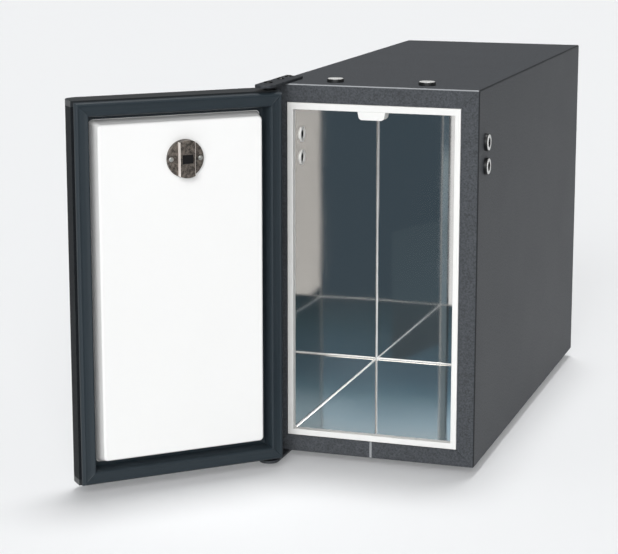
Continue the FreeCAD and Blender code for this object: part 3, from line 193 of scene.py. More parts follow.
def rough_by(tree, shader, factor, low, high):
    """Drive the roughness between two values by a texture's value."""
    spread = add(tree, "MapRange", {"Value": factor}, To_Min=low, To_Max=high)
    tree.links.new(spread.outputs["Result"], shader.inputs["Roughness"])


def bump_by(tree, shader, height, distance, strength):
    """Drive the normal by a texture's value, with the real height in metres as the distance."""
    bump = add(tree, "Bump", {"Height": height}, Strength=strength, Distance=distance)
    tree.links.new(bump.outputs["Normal"], shader.inputs["Normal"])


def near_bend(tree, place, across, point, reach):
    """How near a place lies to a bend: 1 on the line through a point, falling to 0 at the reach.
    The line runs along the axis that across leaves out, or fades along one it keeps a small share of."""
    flat = add(tree, "VectorMath", {0: place}, operation="MULTIPLY")
    flat.inputs[1].default_value = across
    off = add(tree, "VectorMath", {0: flat.outputs["Vector"]}, operation="DISTANCE")
    off.inputs[1].default_value = point
    near = add(tree, "MapRange", {"Value": off.outputs["Value"]},
               From_Min=reach / 2, From_Max=reach, To_Min=1.0, To_Max=0.0)
    return near.outputs["Result"]


def powder_coat(name, base, grain, gloss=0.3, folded=False):
    """Baked powder coat on sheet steel: fine orange peel, satin, lighter on the crests.
    On the folded casing a highlight is painted along the top front bend and a pale line along the lower
    flange's seam, which fades upwards; shade is painted along the side bends."""
    material, tree, shader, place = new_finish(name, base, 0.58, IOR=1.5, Specular_IOR_Level=gloss)
    peel = add(tree, "TexNoise", {"Vector": place}, Scale=per_size(grain), Detail=3.0, Roughness=0.6)
    cloud = add(tree, "TexNoise", {"Vector": place}, Scale=per_size(35.7 * MM), Detail=2.0)
    spread = add(tree, "MapRange", {"Value": peel.outputs["Fac"]}, From_Min=0.3, From_Max=0.7)
    tint = tint_by(tree, shader, spread.outputs["Result"], shade(base, 0.62), shade(base, 1.45))
    rough_by(tree, shader, cloud.outputs["Fac"], 0.55, 0.61)
    bump_by(tree, shader, peel.outputs["Fac"], grain * 0.2, 0.7)
    if folded:
        pale_line_reach = 1.5 * MM
        bend_shade_reach = 1.7 * MM
        fade = 0.02
        # Painted highlight along the top front bend, and a pale line painted along the lower flange's seam
        # that fades upwards
        for across, point in (((0, 1, 1), (0, FRONT, TOP)), ((1, 1, fade), (0, FRONT, fade * BASE))):
            pale_line = near_bend(tree, place, across, point, pale_line_reach)
            tint = tint_by(tree, shader, pale_line, tint, linear("#A4A7AA"))
        # Without their signs, left and right are one side, and front and rear are one end.
        mirrored = add(tree, "VectorMath", {0: place}, operation="ABSOLUTE").outputs["Vector"]
        # Painted shade along the casing's upright corner bends and the top's side bends
        for across, point in (((1, 1, 0), (HALF, -FRONT, 0)), ((1, 0, 1), (HALF, 0, TOP))):
            bend_shade = near_bend(tree, mirrored, across, point, bend_shade_reach)
            tint = tint_by(tree, shader, bend_shade, tint, shade(base, 0.3))
    return material


def mirror_steel(name, base, wave):
    """Mirror-polished stainless sheet: near-clear reflections, bent by soft waves in the thin sheet,
    with a faint polishing haze."""
    material, tree, shader, place = new_finish(name, base, 0.05, metallic=1.0)
    haze = add(tree, "TexNoise", {"Vector": place}, Scale=per_size(22.7 * MM), Detail=4.0)
    rough_by(tree, shader, haze.outputs["Fac"], 0.015, 0.07)
    swell = add(tree, "TexNoise", {"Vector": place}, Scale=per_size(wave), Detail=1.0)
    bump_by(tree, shader, swell.outputs["Fac"], 0.9 * MM, 0.6)
    return material


def moulded(name, base, roughness, **sockets):
    """Injection-moulded plastic: even colour, a faint spark-eroded grain and a soft, cloudy gloss."""
    material, tree, shader, place = new_finish(name, base, roughness, IOR=1.49, **sockets)
    spark = add(tree, "TexNoise", {"Vector": place}, Scale=per_size(0.5 * MM), Detail=2.0)
    cloud = add(tree, "TexNoise", {"Vector": place}, Scale=per_size(27.8 * MM), Detail=3.0)
    tint_by(tree, shader, cloud.outputs["Fac"], shade(base, 0.96), shade(base, 1.03))
    rough_by(tree, shader, cloud.outputs["Fac"], roughness * 0.8, roughness * 1.2)
    bump_by(tree, shader, spark.outputs["Fac"], 0.02 * MM, 0.5)
    return material


def drawn_sheet(name, base):
    """Vacuum-formed polystyrene sheet: an even glossy white with slow waves left by the drawing."""
    material, tree, shader, place = new_finish(name, base, 0.24, IOR=1.55)
    slow = add(tree, "TexNoise", {"Vector": place}, Scale=per_size(55.6 * MM), Detail=1.0)
    tint_by(tree, shader, slow.outputs["Fac"], shade(base, 0.985), shade(base, 1.01))
    rough_by(tree, shader, slow.outputs["Fac"], 0.21, 0.28)
    bump_by(tree, shader, slow.outputs["Fac"], 0.3 * MM, 0.5)
    return material


def soft_pvc(name, base):
    """Extruded soft PVC: dull satin with fine die lines along each run and a little bloom.
    The die lines are about 0.2 mm apart, and are drawn 1 mm apart and 83 mm long so that they show."""
    material, tree, shader, place = new_finish(name, base, 0.48, IOR=1.53, Specular_IOR_Level=0.28)
    run = add(tree, "UVMap", uv_map="run").outputs["UV"]
    line = (per_size(83.3 * MM), per_size(1 * MM), 1.0)
    drawn = add(tree, "Mapping", {"Vector": run}, Scale=line)
    lines = add(tree, "TexNoise", {"Vector": drawn.outputs["Vector"]}, Scale=1.0, Detail=2.0)
    bloom = add(tree, "TexNoise", {"Vector": place}, Scale=per_size(16.7 * MM), Detail=3.0)
    tint_by(tree, shader, lines.outputs["Fac"], shade(base, 0.8), shade(base, 1.22))
    rough_by(tree, shader, bloom.outputs["Fac"], 0.4, 0.56)
    bump_by(tree, shader, lines.outputs["Fac"], 0.08 * MM, 0.5)
    return material


def plated(name, base, roughness=0.32):
    """Zinc-plated steel: greyish metal with a patchy, slightly clouded passivated film."""
    material, tree, shader, place = new_finish(name, base, roughness, metallic=1.0)
    film = add(tree, "TexNoise", {"Vector": place}, Scale=per_size(3.125 * MM), Detail=4.0)
    tint_by(tree, shader, film.outputs["Fac"], shade(base, 0.78), shade(base, 1.1))
    rough_by(tree, shader, film.outputs["Fac"], roughness * 0.75, roughness * 1.35)
    return material


def drawn_metal(name, base, roughness, line):
    """Drawn or rolled bare metal: fine lines, from a noise whose patches have a size in mm on each axis."""
    material, tree, shader, place = new_finish(name, base, roughness, metallic=1.0)
    stretch = [per_size(side * MM) for side in line]
    stretched = add(tree, "Mapping", {"Vector": place}, Scale=stretch)
    lines = add(tree, "TexNoise", {"Vector": stretched.outputs["Vector"]}, Scale=1.0, Detail=3.0)
    tint_by(tree, shader, lines.outputs["Fac"], shade(base, 0.8), shade(base, 1.15))
    rough_by(tree, shader, lines.outputs["Fac"], roughness * 0.7, roughness * 1.3)
    return material


def cast_alloy(name, base):
    """Die-cast disc under a worn dark lacquer: mottled brown-grey, metallic where it is rubbed."""
    material, tree, shader, place = new_finish(name, base, 0.42, metallic=0.45)
    mottle = add(tree, "TexNoise", {"Vector": place}, Scale=per_size(1.515 * MM), Detail=5.0, Roughness=0.66)
    spread = add(tree, "MapRange", {"Value": mottle.outputs["Fac"]}, From_Min=0.36, From_Max=0.64)
    tint_by(tree, shader, spread.outputs["Result"], shade(base, 0.22), shade(base, 2.3))
    rough_by(tree, shader, mottle.outputs["Fac"], 0.3, 0.55)
    bump_by(tree, shader, mottle.outputs["Fac"], 0.15 * MM, 0.5)
    return material


def rigid_foam(name, base, painted_shade_front=None):
    """Cut polyurethane board: dull yellow with open cells, drawn at 1.2 mm, twice their size, so that they
    show. In front of a given depth it is painted near black, as painted shade in the casing's mitre gaps."""
    material, tree, shader, place = new_finish(name, base, 0.9)
    cell = 1.2 * MM
    cells = add(tree, "TexVoronoi", {"Vector": place}, Scale=1 / cell)
    tint = tint_by(tree, shader, cells.outputs["Distance"], shade(base, 0.8), shade(base, 1.1))
    bump_by(tree, shader, cells.outputs["Distance"], 0.3 * MM, 0.6)
    # Painted shade: in front of the given depth the foam is near black, standing for the shade in the mitre
    # gaps
    if painted_shade_front:
        depth = add(tree, "SeparateXYZ", {"Vector": place}).outputs["Y"]
        front = add(tree, "Math", {0: depth}, operation="LESS_THAN")
        front.inputs[1].default_value = painted_shade_front
        tint_by(tree, shader, front.outputs["Value"], tint, linear("#1C1D1E"))
    return material


def moulded_rubber(name, base):
    """Moulded rubber: matt near-black with a dusty bloom."""
    material, tree, shader, place = new_finish(name, base, 0.7, IOR=1.52)
    dust = add(tree, "TexNoise", {"Vector": place}, Scale=per_size(4.167 * MM), Detail=4.0)
    tint_by(tree, shader, dust.outputs["Fac"], shade(base, 0.8), shade(base, 1.5))
    rough_by(tree, shader, dust.outputs["Fac"], 0.6, 0.85)
    bump_by(tree, shader, dust.outputs["Fac"], 0.05 * MM, 0.5)
    return material


def dress(material, *nodes):
    """Give CAD nodes one material."""
    for node in nodes:
        slots = NODES[node].data.materials
        slots.clear()
        slots.append(material)


def surface(name, points, faces, material):
    """A mesh of points and quads with one material."""
    mesh = bpy.data.meshes.new(name)
    mesh.from_pydata(points.reshape(-1, 3).tolist(), [], faces.tolist())
    mesh.materials.append(material)
    return mesh


def put_in_scene(name, data):
    """An object for a mesh, a lamp or a camera, linked to the scene."""
    made = bpy.data.objects.new(name, data)
    bpy.context.scene.collection.objects.link(made)
    return made


def smooth_but(mesh, sharp):
    """Shade a mesh smooth, but for edges that bend by more than a sharp angle in degrees."""
    mesh.shade_smooth()
    mesh.set_sharp_from_angle(angle=math.radians(sharp))


def settle(name, points, faces, body, slot, material, replaced=()):
    """Turn points and quads into a finished piece: doubles merged, faces outwards, only sharp edges hard."""
    mesh = surface(name, points, faces, material)
    work = bmesh.new()
    work.from_mesh(mesh)
    bmesh.ops.remove_doubles(work, verts=work.verts, dist=0.001 * MM)
    bmesh.ops.recalc_face_normals(work, faces=work.faces)
    if work.calc_volume(signed=True) < 0:
        bmesh.ops.reverse_faces(work, faces=work.faces)
    work.to_mesh(mesh)
    work.free()
    smooth_but(mesh, sharp=40)
    piece = put_in_scene(name, mesh)
    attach(piece, body)
    if replaced:
        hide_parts(*replaced)


def quads(rows, columns, wrap_rows=False, wrap_columns=False):
    """Corner numbers of the quads of a grid whose points are numbered row by row."""
    row = np.arange(rows if wrap_rows else rows - 1)[:, None]
    column = np.arange(columns if wrap_columns else columns - 1)[None, :]
    after_row = (row + 1) % rows
    after_column = (column + 1) % columns
    corners = [row * columns + column, row * columns + after_column,
               after_row * columns + after_column, after_row * columns + column]
    return np.stack(np.broadcast_arrays(*corners), axis=-1).reshape(-1, 4)


def square_to(axis):
    """An axis along x, y or z, with two unit directions square to it and to each other."""
    axis = np.array(axis, float)
    side = np.roll(axis, 1)
    return axis, side, np.cross(axis, side)


def turned(profile, centre, axis, segments):
    """Surface of revolution. Each profile point (radius, height) makes a circle about the axis:
    centre + height * axis + radius * (cos a * side + sin a * up), with a in equal steps."""
    axis, side, up = square_to(axis)
    angle = np.linspace(0, 2 * np.pi, segments, endpoint=False)[None, :, None]
    radius, height = np.array(profile, float).T[:, :, None, None]
    points = np.array(centre) + height * axis + radius * (np.cos(angle) * side + np.sin(angle) * up)
    return points, quads(len(profile), segments, wrap_columns=True)


def gathered(shapes):
    """Several grids as one list of points and one of quads, whose numbers rise by the points before them."""
    starts = np.cumsum([0] + [points.reshape(-1, 3).shape[0] for points, _ in shapes])
    points = np.concatenate([points.reshape(-1, 3) for points, _ in shapes])
    return points, np.concatenate([faces + start for (_, faces), start in zip(shapes, starts)])


def rounded(reach, height, radius):
    """Profile points of a quarter round in the corner at (reach, height), from its side to its top."""
    across = reach - radius + radius * np.cos(QUARTER)
    up = height - radius + radius * np.sin(QUARTER)
    return np.column_stack([across, up]).tolist()


def swung(points):
    """Points of the shut door turned about the hinge to the open rest pose."""
    cosine, sine = math.cos(OPEN_ANGLE), math.sin(OPEN_ANGLE)
    x = points[..., 0] - HINGE_X
    y = points[..., 1] - HINGE_Y
    moved = [HINGE_X + x * cosine - y * sine, HINGE_Y + x * sine + y * cosine, points[..., 2]]
    return np.stack(moved, axis=-1)


def screw_head(centre, axis, radius, height):
    """Pan head: height falls off as the fourth power of the radius, less a cross recess whose depth is a
    clipped ramp of how near a point lies to either of two arms. Sizes are shares of the radius or height."""
    rings, spokes = 14, 48
    edge_drop, recess_depth = 0.75, 0.55
    arm_half_width, arm_slope = 0.17, 0.06
    arm_length, end_slope = 0.66, 0.1
    axis, side, up = square_to(axis)
    share = np.linspace(0, 1, rings)[:, None]
    angle = np.linspace(0, 2 * np.pi, spokes, endpoint=False)[None, :]
    across = share * np.cos(angle)
    along = share * np.sin(angle)
    near = np.minimum(np.abs(across), np.abs(along))
    far = np.maximum(np.abs(across), np.abs(along))
    arm = np.clip((arm_half_width - near) / arm_slope, 0, 1) * np.clip((arm_length - far) / end_slope, 0, 1)
    rise = height * (1 - edge_drop * share ** 4 - recess_depth * arm)
    spoke = radius * (np.cos(angle)[..., None] * side + np.sin(angle)[..., None] * up)
    dome = np.array(centre) + rise[..., None] * axis + share[..., None] * spoke
    skirt = np.array(centre) + spoke
    under = np.broadcast_to(np.array(centre), skirt.shape)
    return np.concatenate([dome, skirt, under]), quads(rings + 2, spokes, wrap_columns=True)


def outline(low, high, radii):
    """Rounded rectangle in the plane: each corner is a quarter circle of its own radius, in eight steps.
    Corners run anticlockwise from (low x, low y)."""
    corners = np.array([low, (high[0], low[1]), high, (low[0], high[1])])
    inwards = np.array([(1, 1), (-1, 1), (-1, -1), (1, -1)])
    radii = np.maximum(radii, 0)[:, None]
    centres = corners + inwards * radii
    start = np.pi * np.array([1.0, 1.5, 0.0, 0.5])[:, None]
    angle = start + np.linspace(0, np.pi / 2, 8)[None, :]
    ring = np.stack([np.cos(angle), np.sin(angle)], axis=-1)
    return (centres[:, None] + radii[:, None] * ring).reshape(-1, 2)


def slab(low, high, radii, bottom, top, edge):
    """Plate with rounded edges: rings of the rounded rectangle drawn in by an inset and set at a height,
    from the middle of the underside, round the edge, to the middle of the top."""
    low, high, radii = map(np.array, (low, high, radii))
    half = (high - low).min() / 2
    inset = edge * (1 - np.sin(QUARTER))
    rise = edge * (1 - np.cos(QUARTER))
    insets = np.concatenate([[half, edge * 2], inset, inset[::-1], [edge * 2, half]])
    heights = np.concatenate([[bottom, bottom], bottom + rise, top - rise[::-1], [top, top]])
    layers = []
    for inset, height in zip(insets, heights):
        ring = outline(low + inset, high - inset, radii - inset)
        layers.append(np.column_stack([ring, np.full(len(ring), height)]))
    points = np.stack(layers)
    return points, quads(*points.shape[:2], wrap_columns=True)


def look():
    """The fridge's looks as set in the scene."""
    return bpy.context.scene.milk_fridge


class MILKFRIDGE_OT_casing(bpy.types.Operator):
    """Powder coat on the casing and the rear panel"""
    bl_idname = "milk_fridge.casing"
    bl_label = "Casing"

    def execute(self, context):
        cabinet = look().cabinet
        coat = powder_coat("powder_coated_steel", cabinet.paint, cabinet.grain, folded=True)
        dress(coat, "outer_casing", "rear_panel")
        return {"FINISHED"}


class MILKFRIDGE_OT_cavity(bpy.types.Operator):
    """Mirror-polished liner, white frame and sensor cover, and the foam and evaporator behind them"""
    bl_idname = "milk_fridge.cavity"
    bl_label = "Cavity"

    def execute(self, context):
        cabinet = look().cabinet
        dress(mirror_steel("mirror_polished_stainless", cabinet.steel, cabinet.wave), "inner_liner")
        dress(moulded("moulded_white_abs", cabinet.frame_white, 0.3), "front_frame", "sensor_cover")
        yellow = linear("#D9C79B")
        # The foam's front 6 mm is painted near black as shade in the casing's mitre gaps
        shade_depth = 6 * MM
        painted_shade_front = rigid_foam("taped_polyurethane_foam", yellow, painted_shade_front=FRONT + shade_depth)
        dress(painted_shade_front, "foam_left", "foam_right", "foam_top", "foam_floor", "foam_rear")
        dress(rigid_foam("cut_polyurethane_foam", yellow), "door_foam")
        dress(drawn_metal("roll_bonded_aluminium", linear("#D0D1D2"), 0.38, (25, 25, 0.5556)), "evaporator")
        dress(plated("galvanised_sheet", linear("#B2B5B8"), 0.4), "bulkhead")
        return {"FINISHED"}


class MILKFRIDGE_OT_bend_highlights(bpy.types.Operator):
    """Thin pale beads along the liner's eight bends, which paint the bright highlight that the bends reflect
    """
    bl_idname = "milk_fridge.sealant"
    bl_label = "Bend highlights"

    def execute(self, context):
        leg = look().cabinet.bead
        low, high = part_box("inner_liner")
        side = high.x - LINER_RIM
        front, back = low.y, high.y - LINER_SHEET
        rows = ((low.z + LINER_RIM, 1), (high.z - LINER_RIM, -1))
        (floor, _), (ceiling, _) = rows
        beads = []
        for x, toward_x in ((-side, 1), (side, -1)):
            for z, toward_z in rows:
                beads.append(self.bead((x, front, z), (x, back, z), (toward_x, 0, 0), (0, 0, toward_z), leg))
            beads.append(self.bead((x, back, floor), (x, back, ceiling), (toward_x, 0, 0), (0, -1, 0), leg))
        for z, toward_z in rows:
            beads.append(self.bead((-side, back, z), (side, back, z), (0, 0, toward_z), (0, -1, 0), leg))
        # A near white painted highlight, drawn as a bead along each bend
        finish = moulded("white_sealant", linear("#FCFEFF"), 0.35)
        settle("liner_sealant", *gathered(beads), "cabinet", "frame_white", finish)
        return {"FINISHED"}

    def bead(self, start, end, first, second, leg):
        """A bead along one bend: its section runs from the corner along the first wall by one leg, across a
        slightly domed face to the second wall, and home. Its legs swell a little by two sine waves, and both
        ends, a hair short of the corners where beads meet, are closed by drawing the section in."""
        start, end, first, second = map(np.array, (start, end, first, second))
        hair, stations = 0.0001, 80
        turn = np.linspace(0, 1, 7)
        dome = 0.12 * np.sin(np.pi * turn)
        along_first = np.concatenate([[0.0], 1 - turn + dome])
        along_second = np.concatenate([[0.0], turn + dome])
        share = np.pad(np.linspace(hair, 1 - hair, stations), 1, mode="edge")
        swell = leg * (1 + 0.02 * np.sin(37 * share) + 0.015 * np.sin(91 * share + 1.3))
        swell[[0, -1]] = 0
        run = start + share[:, None] * (end - start)
        points = (run[:, None] + (swell[:, None] * along_first)[..., None] * first
                  + (swell[:, None] * along_second)[..., None] * second)
        return points, quads(*points.shape[:2], wrap_columns=True)


class MILKFRIDGE_OT_ports(bpy.types.Operator):
    """Hose ports in both sides and the plugs in the top, as turned pieces"""
    bl_idname = "milk_fridge.ports"
    bl_label = "Ports and plugs"

    def execute(self, context):
        fitting = look().fitting
        black = moulded("moulded_black_nylon", fitting.black, 0.4)
        grey = moulded("moulded_grey_abs", fitting.grey, 0.32)
        white = bpy.data.materials["moulded_white_abs"]
        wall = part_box("inner_liner")[1].x - LINER_RIM
        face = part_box("port_rings")[1].x - HALF
        turns = fitting.facets
        port_y = FRONT + 30 * MM
        port_heights = (BASE + 343 * MM, BASE + 318 * MM)
        plug_places = [(x * MM, port_y, TOP) for x in (-50, 50)]
        sleeve, ring, liner_ring, plug, disc = self.profiles(wall - HALF, face)
        sleeves, rings, liners = [], [], []
        for side in (1, -1):
            for z in port_heights:
                outside = (side * HALF, port_y, z)
                inside = (side * wall, port_y, z)
                sleeves.append(turned(sleeve, outside, (side, 0, 0), turns))
                rings.append(turned(ring, outside, (side, 0, 0), turns))
                liners.append(turned(liner_ring, inside, (-side, 0, 0), turns))
        plugs = [turned(plug, place, (0, 0, 1), turns) for place in plug_places]
        discs = [turned(disc, place, (0, 0, 1), turns) for place in plug_places]
        for node, shapes, slot, finish in (
            ("port_sleeves", sleeves, "black_plastic", black),
            ("port_rings", rings, "ring_grey", grey),
            ("liner_rings", liners, "frame_white", white),
            ("top_plugs", plugs, "black_plastic", black),
            ("plug_discs", discs, "ring_grey", grey),
        ):
            settle(f"{node}_turned", *gathered(shapes), "cabinet", slot, finish, [node])
        return {"FINISHED"}

    def profiles(self, end, face):
        """Profiles of a sleeve, its ring, the liner's ring, a plug and its disc, in lines and quarter rounds.
        A sleeve goes from the stem's inner end, over a flange with a sunk seat, to a tube in the ring. A plug
        has no tube. A ring has a bevelled bore, and a disc is dished."""
        stem, flange, proud = 7 * MM, 9 * MM, 3.5 * MM
        seat, seat_edge = proud - 0.8 * MM, 8.3 * MM
        rim, rim_round = 8.2 * MM, 0.5 * MM
        tube, tube_bore, tip = 5 * MM, 4.5 * MM, face - 0.2 * MM
        ring_bore, ring_bevel = 5.1 * MM, 5.5 * MM
        liner_bore, liner_bevel = 4.7 * MM, 5.4 * MM
        liner_rise, liner_tip = 1.4 * MM, 0.9 * MM
        plug_end, dish = -14 * MM, 0.1 * MM
        head = [(stem, 0), (flange, 0), *rounded(flange, proud, 1 * MM)]
        head += [(seat_edge, proud), (seat_edge, seat)]
        sleeve = [(tube_bore, end), (stem, end), *head, (tube, seat)]
        sleeve += [(tube, tip), (tube_bore, tip), (tube_bore, end)]
        ring = [(ring_bore, seat), (rim, seat), *rounded(rim, face, rim_round)]
        ring += [(ring_bevel, face), (ring_bore, tip), (ring_bore, seat)]
        liner_ring = [(liner_bore, 0), (rim, 0), *rounded(rim, liner_rise, rim_round)]
        liner_ring += [(liner_bevel, liner_rise), (liner_bore, liner_tip), (liner_bore, 0)]
        plug = [(0, plug_end), (stem, plug_end), *head, (0, seat)]
        disc = [(0, seat), (rim, seat), *rounded(rim, face, rim_round), (0, face - dish)]
        return sleeve, ring, liner_ring, plug, disc


class MILKFRIDGE_OT_hinges(bpy.types.Operator):
    """Hinge arms with rounded edges, riveted pins and cross-recess screws"""
    bl_idname = "milk_fridge.hinges"
    bl_label = "Hinges"

    def execute(self, context):
        fitting = look().fitting
        paint = powder_coat("hinge_powder_coat", fitting.hinge, grain=1.2 * MM)
        dark = plated("blackened_steel", linear("#3C3C3C"), 0.35)
        nose, heel, edge = 10 * MM, 2.5 * MM, 0.6 * MM
        screw_rows = (FRONT + 14 * MM, FRONT + 40 * MM)
        for node in ("upper_hinge_plate", "lower_hinge_plate"):
            low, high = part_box(node)
            points, faces = slab(low.xy, high.xy, (nose, nose, heel, heel), low.z, high.z, edge)
            settle(f"{node}_arm", points, faces, "cabinet", "hinge_steel", paint, [node])
        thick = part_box("upper_hinge_plate")[1].z - TOP
        heads = []
        for y in screw_rows:
            for z, way in ((TOP + thick, 1), (BASE - thick, -1)):
                heads.append(screw_head((HINGE_X, y, z), (0, 0, way), fitting.screw_head, HEAD_RISE))
        settle("hinge_screw_heads", *gathered(heads), "cabinet", "zinc_screw", dark, ["hinge_screws"])
        for node, way in (("upper_hinge_pin", 1), ("lower_hinge_pin", -1)):
            low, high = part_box(node)
            tail = low.z if way > 0 else high.z
            pin = turned(self.pin(high.z - low.z), (HINGE_X, HINGE_Y, tail), (0, 0, way), fitting.facets)
            settle(f"{node}_turned", *pin, "cabinet", "zinc_screw", dark, [node])
        dress(moulded("turned_nylon", linear("#2A2B2C"), 0.4), "upper_bush", "lower_bush")
        return {"FINISHED"}

    def pin(self, full):
        """Profile of a pin of a full length: a bevelled tail, the shank, and a dished rivet head."""
        shank, bevel, rivet = 3 * MM, 0.6 * MM, 4.6 * MM
        under, dish = full - 1.2 * MM, full - 0.5 * MM
        dish_edge, dish_foot = 2.9 * MM, 2.5 * MM
        tail = [(0, 0), (shank - bevel, 0), (shank, bevel), (shank, under), (rivet, under)]
        return tail + rounded(rivet, full, 0.5 * MM) + [(dish_edge, full), (dish_foot, dish), (0, dish)]


class MILKFRIDGE_OT_door(bpy.types.Operator):
    """Painted door skin, moulded end caps and the white drawn liner"""
    bl_idname = "milk_fridge.door"
    bl_label = "Door"

    def execute(self, context):
        door = look().door
        dress(powder_coat("door_powder_coat", door.paint, look().cabinet.grain, gloss=0.08), "door_skin")
        dress(moulded("moulded_grey_cap", door.cap, 0.42), "door_top_cap", "door_bottom_cap")
        dress(drawn_sheet("vacuum_formed_white_polystyrene", door.white), "door_liner")
        dress(moulded_rubber("bonded_ferrite_strip", linear("#3A3433")), "gasket_magnets")
        return {"FINISHED"}


class MILKFRIDGE_OT_gasket(bpy.types.Operator):
    """Magnetic seal: one extruded profile carried round the door and welded at four mitres"""
    bl_idname = "milk_fridge.gasket"
    bl_label = "Gasket"

    def execute(self, context):
        door = look().door
        seal = FRONT - door.seal_gap
        seat = seal - door.gasket_thick
        inside = door.gasket_inset + door.gasket_width
        floor = seal - door.moat_depth
        plateau = inside + door.moat_width
        section = self.section(door.gasket_inset, inside, plateau, seat, seal, floor)
        points, along, across = self.carried(section)
        faces = quads(*points.shape[:2], wrap_rows=True, wrap_columns=True)
        finish = soft_pvc("extruded_soft_pvc", door.gasket)
        mesh = surface("door_gasket_extruded", swung(points), faces, finish)
        numbers = np.empty(len(mesh.loops), dtype=np.int32)
        mesh.loops.foreach_get("vertex_index", numbers)
        places = np.stack([along, across], axis=-1).reshape(-1, 2)[numbers]
        mesh.uv_layers.new(name="run").data.foreach_set("uv", places.ravel())
        smooth_but(mesh, sharp=50)
        piece = put_in_scene("door_gasket_extruded", mesh)
        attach(piece, "door")
        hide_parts("door_gasket")
        return {"FINISHED"}

    def section(self, outside, inside, plateau, seat, seal, floor):
        """The seal's cross-section as (distance in from the door's edge, depth, corner radius), clockwise
        from the outer foot: a tucked foot, a bulged flank, a low outer bead, a face that slopes up, a
        bead at the inner edge, and a skirt, 1.2 mm thick, down the moat's wall and over its floor. Each row
        has a distance and mm past it, a depth and mm past it, and a radius in mm."""
        rows = [
            (outside, 2.6, seat, 0, 0),
            (outside, 2.4, seat, 1.4, 0),
            (outside, 0.6, seat, 2.2, 0),
            (outside, 0.1, seat, 3.1, 0),
            (outside, 0, seat, 4.2, 0),
            (outside, 0.25, seal, -3.8, 0),
            (outside, 0.8, seal, -2.5, 0),
            (outside, 1.7, seal, -1.5, 0),
            (outside, 2.6, seal, -1.1, 0),
            (outside, 3.3, seal, -1.1, 0),
            (outside, 3.9, seal, -1.45, 0),
            (outside, 4.6, seal, -1.45, 0),
            (outside, 8, seal, -1, 0),
            (inside, -2.8, seal, -0.65, 0),
            (inside, -1.9, seal, -0.1, 0),
            (inside, -1.1, seal, 0, 0),
            (inside, -0.3, seal, -0.5, 0),
            (inside, 0.4, seal, -2.2, 0),
            (inside, 1.2, seal, -4.5, 0),
            (inside, 1.2, floor, 4, 0),
            (inside, 1.5, floor, 2.2, 0.4),
            (inside, 2.3, floor, 1.2, 1.6),
            (plateau, -0.3, floor, 1.2, 4.8),
            (plateau, -0.3, floor, 0, 4.8),
            (inside, 0, floor, 0, 0),
            (inside, 0, seat, -1, 0),
            (inside, 0, seat, 0, 0),
        ]
        edge, across, level, rise, radius = np.array(rows).T
        return np.column_stack([edge + across * MM, level + rise * MM, radius * MM])

    def carried(self, section):
        """Carry the section round the door's rectangle. On each run a point goes from the middle of a corner
        to the middle of the next: straight, then half of a corner's arc. A sharp corner has no arc and meets
        its neighbour at 45 degrees. A weld ridge on the face, a bell curve across it, marks each mitre."""
        inset, depth, radius = section.T
        half_height = (DOOR_HIGH - DOOR_LOW) / 2
        middle = (DOOR_HIGH + DOOR_LOW) / 2
        ends = np.array([0.0, 0.3, 0.6, 0.9, 1.4, 2.2, 3.6, 6, 9, 14]) * MM
        clear = 20 * MM
        ridge_rise, ridge_reach, face_depth = 0.35 * MM, 0.7 * MM, 1.6 * MM
        face = depth > depth.max() - face_depth
        grids, runs = [], []
        start = 0.0
        for quarter, (reach, away) in enumerate(((HALF, half_height), (half_height, HALF)) * 2):
            inner = np.linspace(clear - reach, reach - clear, 40)
            whole = np.concatenate([-reach + ends, inner, reach - ends[::-1]])[:-1]
            share = (whole / reach)[:, None]
            straight = (reach - inset - radius)[None, :]
            bow = (radius * np.pi / 4)[None, :]
            travel = np.abs(share) * (straight + bow)
            bent = (travel - straight) / np.maximum(radius, 1e-9)
            angle = np.where(bow > 0, bent, 0).clip(0, np.pi / 4)
            along = (np.minimum(travel, straight) + radius * np.sin(angle)) * np.sign(share)
            out = away - inset - radius * (1 - np.cos(angle))
            near = (reach - np.abs(whole))[:, None]
            ridge = ridge_rise * np.exp(-(near / ridge_reach) ** 2) * face
            level = np.minimum(depth[None, :] + ridge, depth.max())
            cosine, sine = math.cos(quarter * math.pi / 2), math.sin(quarter * math.pi / 2)
            x = along * cosine + out * sine
            z = along * sine - out * cosine
            grids.append(np.stack([x, np.broadcast_to(level, x.shape), middle + z], axis=-1))
            runs.append(np.broadcast_to(start + whole[:, None] + reach, x.shape))
            start += 2 * reach
        points = np.concatenate(grids)
        steps = np.hypot(np.diff(inset, prepend=inset[0]), np.diff(depth, prepend=depth[0]))
        across = np.broadcast_to(np.cumsum(steps)[None, :], points.shape[:2])
        return points, np.concatenate(runs), across


